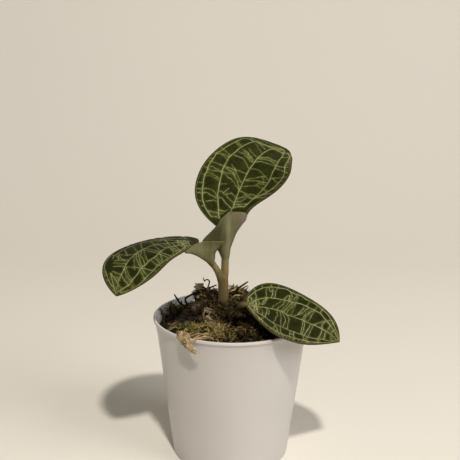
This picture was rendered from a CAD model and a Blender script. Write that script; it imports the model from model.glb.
# %% [markdown]
# # A young jewel orchid in its nursery pot
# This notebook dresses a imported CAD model. The CAD says where everything is and how big it is.
# Here each piece gets the fine shape and the finish of the real one: a satin white pot, a
# crumbly dark mix with moss, straw and rootlets, a fleshy stem, and three dark leaves whose
# yellow-green veins branch like small flashes of lightning.

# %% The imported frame
import math
import random

import bmesh
import bpy
import numpy as np
from mathutils import Matrix, Vector, kdtree, noise


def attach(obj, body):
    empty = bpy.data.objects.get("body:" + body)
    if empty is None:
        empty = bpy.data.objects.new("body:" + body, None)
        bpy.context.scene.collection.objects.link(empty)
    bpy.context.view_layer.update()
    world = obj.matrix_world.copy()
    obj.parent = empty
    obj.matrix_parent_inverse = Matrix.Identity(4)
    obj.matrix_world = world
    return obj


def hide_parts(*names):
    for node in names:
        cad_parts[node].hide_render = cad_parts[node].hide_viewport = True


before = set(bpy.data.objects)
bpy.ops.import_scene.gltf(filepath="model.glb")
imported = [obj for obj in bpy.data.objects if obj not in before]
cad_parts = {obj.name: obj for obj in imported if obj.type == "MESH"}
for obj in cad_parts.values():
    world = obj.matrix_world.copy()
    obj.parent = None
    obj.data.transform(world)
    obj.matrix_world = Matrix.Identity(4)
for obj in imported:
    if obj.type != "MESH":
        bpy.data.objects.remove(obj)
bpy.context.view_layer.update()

# %% [markdown]
# ## Small helpers
# Sizes are in millimetres, because a small plant is easier to think about that way, and one
# number turns them into metres. A finished piece rides on the CAD body "root", says which
# finish of the record it takes, and may stand for CAD nodes.

# %% Helpers for objects
MM = 0.001


def add_object(name, mesh):
    obj = bpy.data.objects.new(name, mesh)
    bpy.context.scene.collection.objects.link(obj)
    return obj


def new_object(name, points, faces, finish=None):
    """A smooth-shaded mesh object from points in metres."""
    mesh = bpy.data.meshes.new(name)
    mesh.from_pydata([tuple(point) for point in points], [], [tuple(face) for face in faces])
    mesh.shade_smooth()
    if finish:
        mesh.materials.append(finish)
    return add_object(name, mesh)


def plain_mesh(obj, name):
    """The object as its modifiers make it, as a new plain object; the old one is removed."""
    graph = bpy.context.evaluated_depsgraph_get()
    mesh = bpy.data.meshes.new_from_object(obj.evaluated_get(graph))
    bpy.data.objects.remove(obj, do_unlink=True)
    mesh.name = name
    return add_object(name, mesh)


def mesh_from(bm, name):
    """An edit mesh as a new mesh; the edit mesh is freed."""
    mesh = bpy.data.meshes.new(name)
    bm.to_mesh(mesh)
    bm.free()
    return mesh


def settle(piece, slot, *nodes):
    """The piece rides on the body, takes a slot's finish, and may stand for CAD nodes."""
    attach(piece, "root")
    if nodes:
        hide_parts(*nodes)
    triangles = sum(len(face.vertices) - 2 for face in piece.data.polygons)
    print(f"{piece.name}: {triangles} triangles")
    return piece

# %% [markdown]
# Materials and Geometry Nodes are both trees of nodes. One helper adds a node and plugs it in:
# a name with a small first letter is a setting of the node, a capitalised one is a socket,
# and a socket is given either a value or another node's output.

# %% Helpers for nodes
def plug(tree, socket, value):
    if isinstance(value, bpy.types.NodeSocket):
        tree.links.new(value, socket)
    else:
        socket.default_value = value


def node(tree, kind, *first, **given):
    made = tree.nodes.new(kind)
    for name in [name for name in given if name[0].islower()]:
        setattr(made, name, given.pop(name))
    for socket, value in zip(made.inputs, first):
        if value is not None:
            plug(tree, socket, value)
    for name, value in given.items():
        plug(tree, made.inputs[name.replace("_", " ")], value)
    return made


def give(shader, **outputs):
    """Plugs outputs of other nodes into a shader's sockets."""
    for socket, output in outputs.items():
        plug(shader.id_data, shader.inputs[socket.replace("_", " ")], output)


def maths(tree, operation, *values):
    return node(tree, "ShaderNodeMath", *values, operation=operation).outputs[0]


def ranged(tree, value, low, high, start=0.0, end=1.0, shape="SMOOTHSTEP"):
    """A number between start and end, as the value goes from low to high."""
    return node(tree, "ShaderNodeMapRange", interpolation_type=shape, Value=value, From_Min=low,
                From_Max=high, To_Min=start, To_Max=end).outputs[0]


def mixed(tree, mask, a, b, blend="MIX"):
    return node(tree, "ShaderNodeMix", data_type="RGBA", blend_type=blend, Factor=mask, A=a,
                B=b).outputs["Result"]


def new_group(name, kind, given, made):
    """A node group with named inputs, as (name, type) or (name, type, value), and outputs."""
    group = bpy.data.node_groups.new(name, kind)
    for title, socket_type, *value in given:
        socket = group.interface.new_socket(title, in_out="INPUT",
                                            socket_type="NodeSocket" + socket_type)
        if value:
            socket.default_value = value[0]
    for title, socket_type in made:
        group.interface.new_socket(title, in_out="OUTPUT",
                                   socket_type="NodeSocket" + socket_type)
    inputs = group.nodes.new("NodeGroupInput").outputs
    return group, inputs, group.nodes.new("NodeGroupOutput")


print("helpers:", *(f.__name__ for f in (plug, node, give, maths, ranged, mixed, new_group)))

# %% [markdown]
# ## The camera
# The picture was taken from 33 cm in front of the pot and a little above it, through a
# longish lens. The view of such a camera is a matrix whose columns are its right, its up and
# its backward direction.

# %% Camera
CAMERA_PLACE = (-16.82, -330.91, 172.20)
LENS = 71.36
DOWN, ASIDE, LEAN = (math.radians(angle) for angle in (14.165, 2.73, 0.68))

ahead = Vector(
    (math.sin(ASIDE) * math.cos(DOWN), math.cos(ASIDE) * math.cos(DOWN), -math.sin(DOWN))
)
level = Vector((math.cos(ASIDE), -math.sin(ASIDE), 0))
above = level.cross(ahead)
right = math.cos(LEAN) * level + math.sin(LEAN) * above
up = math.cos(LEAN) * above - math.sin(LEAN) * level
camera_data = bpy.data.cameras.new("camera")
camera_data.lens = LENS
camera_data.sensor_width = 36.0
camera = add_object("camera", camera_data)
turn = Matrix((right, up, -ahead)).transposed().to_4x4()
camera.matrix_world = Matrix.Translation(Vector(CAMERA_PLACE) * MM) @ turn
bpy.context.scene.camera = camera
print("camera at", CAMERA_PLACE, "mm")

# %% [markdown]
# ## Floor and light
# A plain pale sheet lies under the pot and bends up behind it, so no horizon shows. One warm
# lamp hangs in front and above: the shadows of the left and the right leaf lie straight behind
# them. A pale window at the right and a dim room fill the shadows a little. The "Standard"
# view is chosen because it shows a colour as bright as the light on it makes it.

# %% Floor and lamps
def paper_sweep():
    """A pale sheet: a flat floor that curves up into a wall."""
    near, bend, reach, height, half, steps = -1.2, 0.35, 0.62, 1.6, 1.4, 12
    section = [(near, 0.0)]
    for i in range(steps + 1):
        angle = math.pi / 2 * i / steps
        section.append((reach - bend + bend * math.sin(angle), bend - bend * math.cos(angle)))
    section.append((reach, height))
    points = [(x, y, z) for y, z in section for x in (-half, half)]
    faces = [(2 * i, 2 * i + 1, 2 * i + 3, 2 * i + 2) for i in range(len(section) - 1)]
    paper = bpy.data.materials.new("pale_paper")
    paper.use_nodes = True
    shader = paper.node_tree.nodes["Principled BSDF"]
    shader.inputs["Base Color"].default_value = (0.748, 0.722, 0.664, 1)
    shader.inputs["Roughness"].default_value = 0.9
    new_object("floor", points, faces, paper)


def soft_lamp(name, place, target, size, watts, colour):
    data = bpy.data.lights.new(name, "AREA")
    data.shape = "DISK"
    data.size = size
    data.energy = watts
    data.color = colour
    lamp = add_object(name, data)
    lamp.location = place
    lamp.rotation_euler = (Vector(place) - Vector(target)).to_track_quat("Z", "Y").to_euler()


paper_sweep()
MIDDLE = (0, 0, 0.06)
WARM = (1.0, 0.93, 0.84)
soft_lamp("lamp", (0.033, -0.62, 0.97), MIDDLE, 0.07, 9.4, WARM)
soft_lamp("window", (0.75, -0.50, 0.62), MIDDLE, 0.6, 5.0, (1.0, 0.975, 0.95))
world = bpy.data.worlds.new("pale_room")
world.use_nodes = True
room = world.node_tree.nodes["Background"].inputs
room["Color"].default_value = (1.0, 0.95, 0.88, 1)
room["Strength"].default_value = 0.17
bpy.context.scene.world = world
bpy.context.scene.view_settings.view_transform = "Standard"
print("a lamp, a window and a dim room")

# %% [markdown]
# ## Shared finishes
# Most surfaces of a plant are blotchy and finely rough. Two node groups do both jobs for
# every material: one mixes two colours in soft patches, the other turns noise into a small
# relief. They read Object coordinates, so a pattern stays on its piece. The Principled shader
# stays in each material, where its own plain numbers are set.

# %% Node groups for the finishes
def stretched_noise(tree, given, detail):
    place = node(tree, "ShaderNodeTexCoord").outputs["Object"]
    stretched = node(tree, "ShaderNodeVectorMath", place, given["Stretch"], operation="MULTIPLY")
    return node(tree, "ShaderNodeTexNoise", Vector=stretched.outputs[0], Scale=given["Scale"],
                Detail=detail).outputs["Fac"]


def blotches_group():
    group, given, out = new_group(
        "blotches", "ShaderNodeTree",
        [("Scale", "Float", 200.0), ("Stretch", "Vector", (1, 1, 1)), ("Edge", "Float", 0.12),
         ("Dark", "Color", (0, 0, 0, 1)), ("Light", "Color", (1, 1, 1, 1))],
        [("Color", "Color"), ("Mask", "Float")],
    )
    mask = ranged(group, stretched_noise(group, given, 5.0),
                  maths(group, "SUBTRACT", 0.5, given["Edge"]),
                  maths(group, "ADD", 0.5, given["Edge"]), shape="LINEAR")
    plug(group, out.inputs["Color"], mixed(group, mask, given["Dark"], given["Light"]))
    plug(group, out.inputs["Mask"], mask)
    return group


def relief_group():
    group, given, out = new_group(
        "fine_relief", "ShaderNodeTree",
        [("Scale", "Float", 1500.0), ("Stretch", "Vector", (1, 1, 1)), ("Strength", "Float", 0.3),
         ("Depth", "Float", 0.0002)],
        [("Normal", "Vector")],
    )
    bump = node(group, "ShaderNodeBump", Height=stretched_noise(group, given, 4.0),
                Strength=given["Strength"], Distance=given["Depth"])
    plug(group, out.inputs["Normal"], bump.outputs["Normal"])
    return group


BLOTCHES = blotches_group()
FINE_RELIEF = relief_group()


def use(material, group, **values):
    """Puts a shared group into a material; colours and stretches come as three numbers."""
    made = node(material.node_tree, "ShaderNodeGroup", node_tree=group)
    for name, value in values.items():
        if made.inputs[name].type == "RGBA":
            value = (*value, 1)
        made.inputs[name].default_value = value
    return made


def blotchy(material, scale, edge, dark, light, stretch=(1, 1, 1)):
    """The colour of soft patches in two shades."""
    return use(material, BLOTCHES, Scale=scale, Stretch=stretch, Edge=edge, Dark=dark,
               Light=light).outputs["Color"]


def new_finish(name, roughness, specular, **plain):
    """A material with a Principled shader; plain values go straight on its sockets."""
    material = bpy.data.materials.new(name)
    material.use_nodes = True
    shader = material.node_tree.nodes["Principled BSDF"]
    shader.inputs["Roughness"].default_value = roughness
    shader.inputs["Specular IOR Level"].default_value = specular
    for socket, value in plain.items():
        shader.inputs[socket.replace("_", " ")].default_value = value
    return material, shader


print("shared groups:", BLOTCHES.name, "and", FINE_RELIEF.name)

# %% [markdown]
# Soil, moss, straw and wood are all dull and blotchy. They differ only in two colours, in the
# size and stretch of the blotches, and in how rough they are, so a table describes them.

# %% The dull, blotchy finishes
ROUND, LONG = (1, 1, 1), (1, 1, 0.3)
STUFF = {
    # name: dark, light, blotches per metre, stretch, strength of the relief
    "damp_mix": ((0.005, 0.004, 0.002), (0.028, 0.021, 0.011), 420, ROUND, 0.7),
    "dark_crumbs": ((0.005, 0.004, 0.003), (0.032, 0.023, 0.013), 700, ROUND, 0.6),
    "brown_fibres": ((0.028, 0.018, 0.009), (0.130, 0.085, 0.045), 260, ROUND, 0.4),
    "tan_splinters": ((0.120, 0.075, 0.042), (0.380, 0.265, 0.165), 330, ROUND, 0.5),
    "pale_grains": ((0.420, 0.400, 0.360), (0.720, 0.700, 0.660), 600, ROUND, 0.5),
    "dead_rootlets": ((0.009, 0.006, 0.005), (0.040, 0.028, 0.020), 500, LONG, 0.5),
    "pale_rootlet": ((0.050, 0.038, 0.024), (0.160, 0.125, 0.080), 600, ROUND, 0.4),
    "rusty_rootlets": ((0.075, 0.032, 0.018), (0.220, 0.110, 0.060), 500, ROUND, 0.4),
    "fresh_moss": ((0.120, 0.092, 0.024), (0.530, 0.420, 0.140), 260, ROUND, 0.3),
    "green_moss": ((0.032, 0.036, 0.010), (0.140, 0.140, 0.044), 330, ROUND, 0.3),
    "rusty_moss": ((0.050, 0.031, 0.012), (0.320, 0.218, 0.084), 260, ROUND, 0.3),
    "umber_moss": ((0.010, 0.007, 0.003), (0.085, 0.058, 0.022), 330, ROUND, 0.3),
    "pale_moss": ((0.170, 0.125, 0.058), (0.460, 0.360, 0.190), 300, ROUND, 0.3),
    "moss_bed": ((0.010, 0.008, 0.003), (0.060, 0.046, 0.017), 380, ROUND, 0.5),
    "dry_straw": ((0.130, 0.080, 0.034), (0.560, 0.420, 0.235), 700, (1, 1, 0.5), 0.5),
    "light_straw": ((0.360, 0.260, 0.140), (0.800, 0.670, 0.440), 700, (1, 1, 0.5), 0.5),
    "weathered_bark": ((0.040, 0.030, 0.014), (0.240, 0.185, 0.100), 300, LONG, 0.7),
    "light_chips": ((0.055, 0.038, 0.020), (0.360, 0.265, 0.155), 900, (0.4, 1, 1), 0.6),
    "brown_lump": ((0.020, 0.014, 0.010), (0.125, 0.088, 0.062), 700, ROUND, 0.8),
    "peeled_bark": ((0.300, 0.220, 0.120), (0.920, 0.760, 0.500), 600, (1, 1, 3), 0.6),
}


def stuff(name):
    """The material of that name, made from the table when it is first asked for."""
    if name in bpy.data.materials:
        return bpy.data.materials[name]
    dark, light, scale, stretch, relief = STUFF[name]
    material, shader = new_finish(name, 0.9, 0.15)
    bumps = use(material, FINE_RELIEF, Scale=1700.0, Stretch=stretch, Strength=relief)
    give(shader, Base_Color=blotchy(material, scale, 0.16, dark, light, stretch),
         Normal=bumps.outputs["Normal"])
    return material


print(len(STUFF), "dull finishes are described")

# %% [markdown]
# ## The pot
# The real pot is moulded in one thin piece: a straight taper, a rounded bead for a lip, and
# drain holes in the floor. A profile turned round the axis gives the wall and the bead, so
# the profile comes first, with short arcs where the real edge is rounded.

# %% The pot's sizes and profile
POT_HEIGHT, LIP_RADIUS, LIP_PROUD = 55.5, 30.1, 0.8
LIP_TOP, LIP_HEIGHT, LIP_WIDTH, LIP_INSET = 54.95, 1.15, 0.95, 0.12
BASE_RADIUS, WALL, FLOOR = 22.4, 1.1, 1.4


def outer_wall(z):
    """The radius of the wall's outside at a height, in millimetres."""
    return BASE_RADIUS + (LIP_RADIUS - LIP_PROUD - BASE_RADIUS) * z / POT_HEIGHT


def inner_wall(z):
    return outer_wall(z) - WALL


def arc(centre_r, centre_z, radius, start, end, count=6):
    """Points of a rounded corner, from one angle in degrees to another."""
    angles = [math.radians(start + (end - start) * i / count) for i in range(count + 1)]
    return [(centre_r + radius * math.cos(a), centre_z + radius * math.sin(a)) for a in angles]


def pot_profile():
    top, lip_low, bead, edge = LIP_TOP, LIP_TOP - LIP_HEIGHT, 0.45, 0.3
    outside = LIP_RADIUS - LIP_INSET
    return [
        (0, FLOOR),
        (inner_wall(FLOOR) - 0.8, FLOOR),
        *arc(inner_wall(FLOOR) - 0.9, FLOOR + 0.9, 0.85, -80, -8, 4),
        (inner_wall(10), 10),
        (inner_wall(30), 30),
        (inner_wall(46), 46),
        (inner_wall(52), 52),
        *arc(outside - LIP_WIDTH + edge, top - edge, edge, 180, 90, 5),
        *arc(outside - bead, top - bead, bead, 90, 0, 8),
        *arc(outside - 0.25, lip_low + 0.25, 0.25, 0, -90, 4),
        (outer_wall(lip_low) + 0.5, lip_low),
        (outer_wall(lip_low) + 0.42, lip_low - 0.15),
        (outer_wall(52) + 0.25, 52),
        (outer_wall(49) + 0.05, 49),
        (outer_wall(40), 40),
        (outer_wall(20), 20),
        (outer_wall(6), 6),
        *arc(outer_wall(0) - 0.75, 0.8, 0.8, -8, -90, 6),
        (0, 0),
    ]


print("the pot's profile has", len(pot_profile()), "points")

# %% [markdown]
# Turning a profile gives a ring for each of its points, and faces between the rings. A Screw
# modifier could do that too, but the mix needs the same rings with a height of its own at each
# point. The holes are cut last, through the closed shape.

# %% Turning a profile, and the drain holes
POT_STEPS = 180
DRAINS, DRAIN_CIRCLE, DRAIN_RADIUS = 6, 13, 2.5


def ring_points(radii_and_heights, steps):
    """Rings of points in metres, one ring after the other."""
    points = []
    for r, z in radii_and_heights:
        for i in range(steps):
            angle = math.tau * i / steps
            points.append((r * math.cos(angle) * MM, r * math.sin(angle) * MM, z * MM))
    return points


def ring_faces(rings, steps):
    """Faces of rings that lie between a first and a last single point."""
    faces = []
    last = rings * steps + 1
    for i in range(steps):
        j = (i + 1) % steps
        faces.append((0, 1 + i, 1 + j))
        faces.append((last, last - steps + j, last - steps + i))
        for k in range(rings - 1):
            a, b = 1 + k * steps, 1 + (k + 1) * steps
            faces.append((a + i, b + i, b + j, a + j))
    return faces


def with_holes(obj, name):
    """A ring of drain holes through the floor, cut with a Boolean."""
    bm = bmesh.new()
    for i in range(DRAINS):
        angle = math.tau * (i + 0.5) / DRAINS
        place = Vector((math.cos(angle), math.sin(angle), 0)) * DRAIN_CIRCLE * MM
        bmesh.ops.create_cone(bm, cap_ends=True, segments=32, radius1=DRAIN_RADIUS * MM,
                              radius2=DRAIN_RADIUS * MM, depth=4 * FLOOR * MM,
                              matrix=Matrix.Translation(place))
    drains = add_object("drains", mesh_from(bm, "drains"))
    cut = obj.modifiers.new("Drains", "BOOLEAN")
    cut.object = drains
    cut.solver = "EXACT"
    made = plain_mesh(obj, name)
    bpy.data.objects.remove(drains, do_unlink=True)
    made.data.shade_smooth()
    made.data.set_sharp_from_angle(angle=math.radians(50))
    return made


print(DRAINS, "drain holes of", 2 * DRAIN_RADIUS, "mm")

# %% [markdown]
# White polypropylene is satin, a touch cloudy, and picks up fine scuffs. The clouds change the
# colour a little, and the scuffs only the roughness.

# %% The pot's finish, and the pot
def pot_finish():
    material, shader = new_finish("white_plastic", 0.36, 0.42)
    clouds = blotchy(material, 28.0, 0.3, (0.525, 0.505, 0.49), (0.58, 0.56, 0.545))
    scuffs = use(material, BLOTCHES, Scale=420.0, Stretch=(1, 1, 0.12), Edge=0.1).outputs["Mask"]
    bumps = use(material, FINE_RELIEF, Scale=260.0, Strength=0.12, Depth=0.00015)
    give(shader, Base_Color=clouds, Normal=bumps.outputs["Normal"],
         Roughness=ranged(material.node_tree, scuffs, 0, 1, 0.3, 0.44))
    return material


def make_pot():
    profile = pot_profile()
    points = [(0, 0, FLOOR * MM), *ring_points(profile[1:-1], POT_STEPS), (0, 0, 0)]
    faces = ring_faces(len(profile) - 2, POT_STEPS)
    return with_holes(new_object("pot_blank", points, faces, pot_finish()), "nursery_pot")


settle(make_pot(), "pot", "pot")

# %% [markdown]
# ## The growing mix
# Under the moss lies a dark, damp mix of bark dust and fibre. It is flat near the wall and
# mounds up round the stem. The CAD's height formula is repeated here, and finer lumps are
# laid on top of it, so that the surface is broken at every scale.

# %% The mix as a fine surface
MIX_LEVEL = 50.6
MOUND_CENTRE, MOUND_SPREAD, MOUND_HEIGHT, LUMP_SIZE = (-2.5, 5.0), 13.0, 8.6, 5.0
MIX_RINGS, MIX_SPOKES = 110, 250


def mix_top(x, y):
    """The height of the mix in millimetres, as the CAD has it."""
    from_mound = math.hypot(x - MOUND_CENTRE[0], y - MOUND_CENTRE[1]) / MOUND_SPREAD
    place = Vector((x, y, 0)) / LUMP_SIZE
    lumps = noise.noise(place) + 0.5 * noise.noise(place * 2.3)
    return MIX_LEVEL + y / LIP_RADIUS + MOUND_HEIGHT * math.exp(-(from_mound**2)) + lumps


def crumbled_top(x, y):
    """The same with finer lumps and pits."""
    lumps = 0.55 * noise.noise(Vector((x, y, 3.0)) / 1.9)
    pits = 0.6 * abs(noise.noise(Vector((x, y, 9.0)) / 1.1))
    crumbs = 0.25 * noise.noise(Vector((x, y, 5.0)) / 0.45)
    return mix_top(x, y) + lumps - pits + crumbs


def make_mix():
    edge, foot = inner_wall(MIX_LEVEL), FLOOR + 1.1
    flat = [(edge * i / MIX_RINGS, 0) for i in range(1, MIX_RINGS + 1)]
    sides = [(inner_wall(z) - 0.3, z) for z in (40.0, 20.0, foot)]
    points = [(0, 0, crumbled_top(0, 0) * MM), *ring_points(flat + sides, MIX_SPOKES)]
    for i in range(1, MIX_RINGS * MIX_SPOKES + 1):
        x, y = points[i][0] / MM, points[i][1] / MM
        points[i] = (points[i][0], points[i][1], crumbled_top(x, y) * MM)
    points.append((0, 0, foot * MM))
    faces = ring_faces(MIX_RINGS + len(sides), MIX_SPOKES)
    return new_object("mix_bed", points, faces, stuff("damp_mix"))


mix_bed = settle(make_mix(), "growing_mix", "growing_mix")

# %% [markdown]
# ## Scattering with Geometry Nodes
# Crumbs, fibres and moss shoots are many copies of a few small shapes. One node tree throws
# points over a surface, sets a copy on each with a random lean and size, and makes the copies
# real. Its seed is fixed, so each run gives the same plant. A number stored on each vertex
# under the name "where" thins the copies out where they don't belong.

# %% The scattering tree
def stored(tree, name):
    return node(tree, "GeometryNodeInputNamedAttribute", name).outputs["Attribute"]


def made_real(tree, shape, given, out):
    """The end of a tree: copies become real and wear the finish."""
    real = node(tree, "GeometryNodeRealizeInstances", shape).outputs[0]
    plug(tree, out.inputs[0], node(tree, "GeometryNodeSetMaterial", Geometry=real,
                                   Material=given["Finish"]).outputs[0])
    return tree


def scatter_tree():
    tree, given, out = new_group(
        "scatter_over_a_surface", "GeometryNodeTree",
        [("Geometry", "Geometry"), ("Per Area", "Float"), ("Seed", "Int"), ("Shape", "Object"),
         ("Smallest", "Float"), ("Largest", "Float"), ("Lean", "Float"), ("Finish", "Material")],
        [("Geometry", "Geometry")],
    )
    density = maths(tree, "MULTIPLY", stored(tree, "where"), given["Per Area"])
    points = node(tree, "GeometryNodeDistributePointsOnFaces", Mesh=given["Geometry"],
                  Density=density, Seed=given["Seed"])
    shape = node(tree, "GeometryNodeObjectInfo", Object=given["Shape"]).outputs["Geometry"]
    lean, back = given["Lean"], maths(tree, "MULTIPLY", given["Lean"], -1.0)
    least = node(tree, "ShaderNodeCombineXYZ", back, back, -math.pi).outputs[0]
    most = node(tree, "ShaderNodeCombineXYZ", lean, lean, math.pi).outputs[0]
    angles = node(tree, "FunctionNodeRandomValue", least, most, data_type="FLOAT_VECTOR",
                  Seed=given["Seed"]).outputs[0]
    turn_by = node(tree, "FunctionNodeEulerToRotation", angles).outputs[0]
    turned = node(tree, "FunctionNodeRotateRotation", rotation_space="LOCAL",
                  Rotation=points.outputs["Rotation"], Rotate_By=turn_by).outputs[0]
    size = node(tree, "FunctionNodeRandomValue", None, None, given["Smallest"],
                given["Largest"], Seed=given["Seed"]).outputs[1]
    copies = node(tree, "GeometryNodeInstanceOnPoints", Points=points.outputs["Points"],
                  Instance=shape, Rotation=turned, Scale=size).outputs[0]
    return made_real(tree, copies, given, out)


SCATTER = scatter_tree()
print("tree:", SCATTER.name)

# %% [markdown]
# A tree works as a modifier on a bare mesh, and what it makes is kept as a plain mesh. A bed
# is the upward part of a piece with a weight at each point. The wall of a real pot holds its
# filling back, so whatever would stick through the wall is moved back inside.

# %% Growing copies on a bed
def keep_values(mesh, name, values):
    """Stores one number for each vertex under a name that materials and trees can read."""
    attribute = mesh.attributes.new(name, "FLOAT", "POINT")
    attribute.data.foreach_set("value", np.asarray(values, np.float32))


def grow(tree, mesh, name, **settings):
    """Runs a tree on a mesh and gives the result as a plain object."""
    holder = add_object("holder", mesh)
    modifier = holder.modifiers.new("Grow", "NODES")
    modifier.node_group = tree
    for item in tree.interface.items_tree:
        title = item.name.replace(" ", "_")
        if item.in_out == "INPUT" and title in settings:
            modifier[item.identifier] = settings[title]
    return plain_mesh(holder, name)


PLAY, ABOVE_LIP = 0.25, 0.3


def keep_in_pot(piece):
    """Moves back inside whatever would stick through the pot's wall."""
    points = np.empty((len(piece.data.vertices), 3), np.float32)
    piece.data.vertices.foreach_get("co", points.ravel())
    radius = np.maximum(np.hypot(points[:, 0], points[:, 1]), 1e-9)
    room = (inner_wall(points[:, 2] / MM) - PLAY) * MM
    low = points[:, 2] < (POT_HEIGHT + ABOVE_LIP) * MM
    points[:, :2] *= np.where(low, np.minimum(1, room / radius), 1)[:, None]
    piece.data.vertices.foreach_set("co", points.ravel())
    return piece


def scatter(bed, name, shape, finish, per_area, smallest, largest, lean, seed):
    """The copies over a bed; the density is in copies for each square centimetre."""
    return keep_in_pot(grow(
        SCATTER, bed.copy(), name, Shape=shape, Finish=stuff(finish), Per_Area=per_area * 1e4,
        Smallest=smallest, Largest=largest, Lean=lean, Seed=seed
    ))


def bed_for(obj, weight):
    """The object's upward faces as a bare mesh, with a weight for each point in mm."""
    bm = bmesh.new()
    bm.from_mesh(obj.data)
    low = [face for face in bm.faces if face.normal.z < 0.05]
    bmesh.ops.delete(bm, geom=low, context="FACES")
    mesh = mesh_from(bm, "bed")
    keep_values(mesh, "where", [weight(*(c / MM for c in vert.co)) for vert in mesh.vertices])
    return mesh


print("the pot is", round(2 * inner_wall(MIX_LEVEL), 1), "mm wide inside at the mix's level")

# %% [markdown]
# ## Sweeping paths
# Rootlets, straw and stalks each follow a path. A second tree turns loose edges into smooth
# curves and sweeps a round or flattened section along them. Each point of a path carries its
# own radius and twist.

# %% The sweeping tree
def sweep_tree():
    tree, given, out = new_group(
        "sweep_along_paths", "GeometryNodeTree",
        [("Geometry", "Geometry"), ("Step", "Float"), ("Sides", "Int"), ("Flatness", "Float"),
         ("Finish", "Material")],
        [("Geometry", "Geometry")],
    )
    curves = node(tree, "GeometryNodeMeshToCurve", given["Geometry"]).outputs[0]
    smooth = node(tree, "GeometryNodeCurveSplineType", curves,
                  spline_type="CATMULL_ROM").outputs[0]
    stations = node(tree, "GeometryNodeResampleCurve", mode="LENGTH", Curve=smooth,
                    Length=given["Step"]).outputs[0]
    tilted = node(tree, "GeometryNodeSetCurveTilt", Curve=stations,
                  Tilt=stored(tree, "twist")).outputs[0]
    ring = node(tree, "GeometryNodeCurvePrimitiveCircle", Radius=1.0,
                Resolution=given["Sides"]).outputs["Curve"]
    scale = node(tree, "ShaderNodeCombineXYZ", 1.0, given["Flatness"], 1.0).outputs[0]
    section = node(tree, "GeometryNodeTransform", Geometry=ring, Scale=scale).outputs[0]
    swept = node(tree, "GeometryNodeCurveToMesh", Curve=tilted, Profile_Curve=section,
                 Scale=stored(tree, "radius"), Fill_Caps=True).outputs[0]
    shaded = node(tree, "GeometryNodeSetShadeSmooth", swept).outputs[0]
    return made_real(tree, shaded, given, out)


SWEEP = sweep_tree()


def sweep(paths, name, finish, step=0.4, sides=8, flatness=1.0):
    """Sweeps along paths of (x, y, z, radius) in mm, with an optional twist."""
    points, edges, radii, twists = [], [], [], []
    for path in paths:
        start = len(points)
        for station in path:
            points.append(tuple(c * MM for c in station[:3]))
            radii.append(station[3] * MM)
            twists.append(station[4] if len(station) > 4 else 0.0)
        edges += [(i, i + 1) for i in range(start, len(points) - 1)]
    mesh = bpy.data.meshes.new("paths")
    mesh.from_pydata(points, edges, [])
    keep_values(mesh, "radius", radii)
    keep_values(mesh, "twist", twists)
    return grow(SWEEP, mesh, name, Step=step * MM, Sides=sides, Flatness=flatness,
                Finish=stuff(finish))


print("tree:", SWEEP.name)

# %% [markdown]
# ## Crumbs, fibres and chips in the mix
# Three small shapes are enough: a rough crumb, a flat splinter and a curled fibre. They are
# kept coarse, because hundreds of each are set. Fine crumbs lie everywhere, fibres and
# splinters mostly on the mound, torn chips on the slope left of the stem, a tangle of dead
# rootlets further left, and a few white grains lighten the mix.

# %% Small shapes and where they lie
def crumb_shape(name, seed, size):
    bm = bmesh.new()
    bmesh.ops.create_icosphere(bm, subdivisions=1, radius=MM)
    for vert in bm.verts:
        swell = 1 + 0.5 * noise.noise(vert.co / MM * 1.4 + Vector((seed, 0, 0)))
        vert.co = Vector(c * s * swell for c, s in zip(vert.co, size))
    return bpy.data.objects.new(name, mesh_from(bm, name))


def kept_aside(obj):
    """Takes a small source shape out of the scene but keeps it for the tree."""
    bpy.context.scene.collection.objects.unlink(obj)
    return obj


def fibre_shape():
    paths = []
    for lean in (0.4, 2.9):
        path = []
        for t in (0, 0.25, 0.5, 0.75, 1):
            swing = lean + 2.4 * t
            path.append((2.1 * t * math.cos(swing), 2.1 * t * math.sin(swing),
                         -0.3 + 1.5 * math.sin(2.2 * t), 0.11 - 0.05 * t))
        paths.append(path)
    return kept_aside(sweep(paths, "fibre", "brown_fibres", step=0.5, sides=4))


CRUMB = crumb_shape("crumb", 2.0, (1, 1, 1))
SPLINTER = crumb_shape("splinter", 6.0, (1.3, 0.7, 0.3))
FIBRE = fibre_shape()


def around(x, y, spread, least=0.0):
    """A weight that is largest at a place in mm and fades away round it."""
    return lambda px, py, pz: least + math.exp(-((px - x) ** 2 + (py - y) ** 2) / spread)


def everywhere(x, y, z):
    return 1.0


on_the_mound = around(-3, 1, 120, least=0.25)
plain_bed = bed_for(mix_bed, everywhere)
mound_bed = bed_for(mix_bed, on_the_mound)
chip_bed = bed_for(mix_bed, around(-7.5, -3, 14))
tangle_bed = bed_for(mix_bed, around(-18.5, -1.5, 16))
LITTER = {
    # name: bed, shape, finish, copies per square centimetre, smallest, largest, lean, seed
    "mix_crumbs": (plain_bed, CRUMB, "dark_crumbs", 45, 0.22, 0.75, 1.2, 3),
    "mix_fibres": (mound_bed, FIBRE, "brown_fibres", 60, 0.5, 1.3, 0.9, 8),
    "mix_splinters": (mound_bed, SPLINTER, "tan_splinters", 9, 0.3, 0.9, 0.8, 13),
    "gathered_chips": (chip_bed, SPLINTER, "light_chips", 110, 0.3, 0.9, 1.0, 17),
    "white_grains": (mound_bed, CRUMB, "pale_grains", 0.7, 0.3, 0.6, 1.0, 24),
    "root_tangle": (tangle_bed, FIBRE, "dead_rootlets", 120, 1.2, 2.2, 0.6, 31),
}
for name, (bed, *how) in LITTER.items():
    slot = "bark" if "chip" in name or "splinter" in name else "growing_mix"
    settle(scatter(bed, name, *how), slot)

# %% [markdown]
# ## Rootlets
# A handful of dead, near-black rootlets stick out of the mix, and a thin one has curled up
# like a pig's tail. Finer side roots leave them at random places. Two rusty twigs stand by the
# stem, and pale dry loops arch over the moss.

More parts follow.
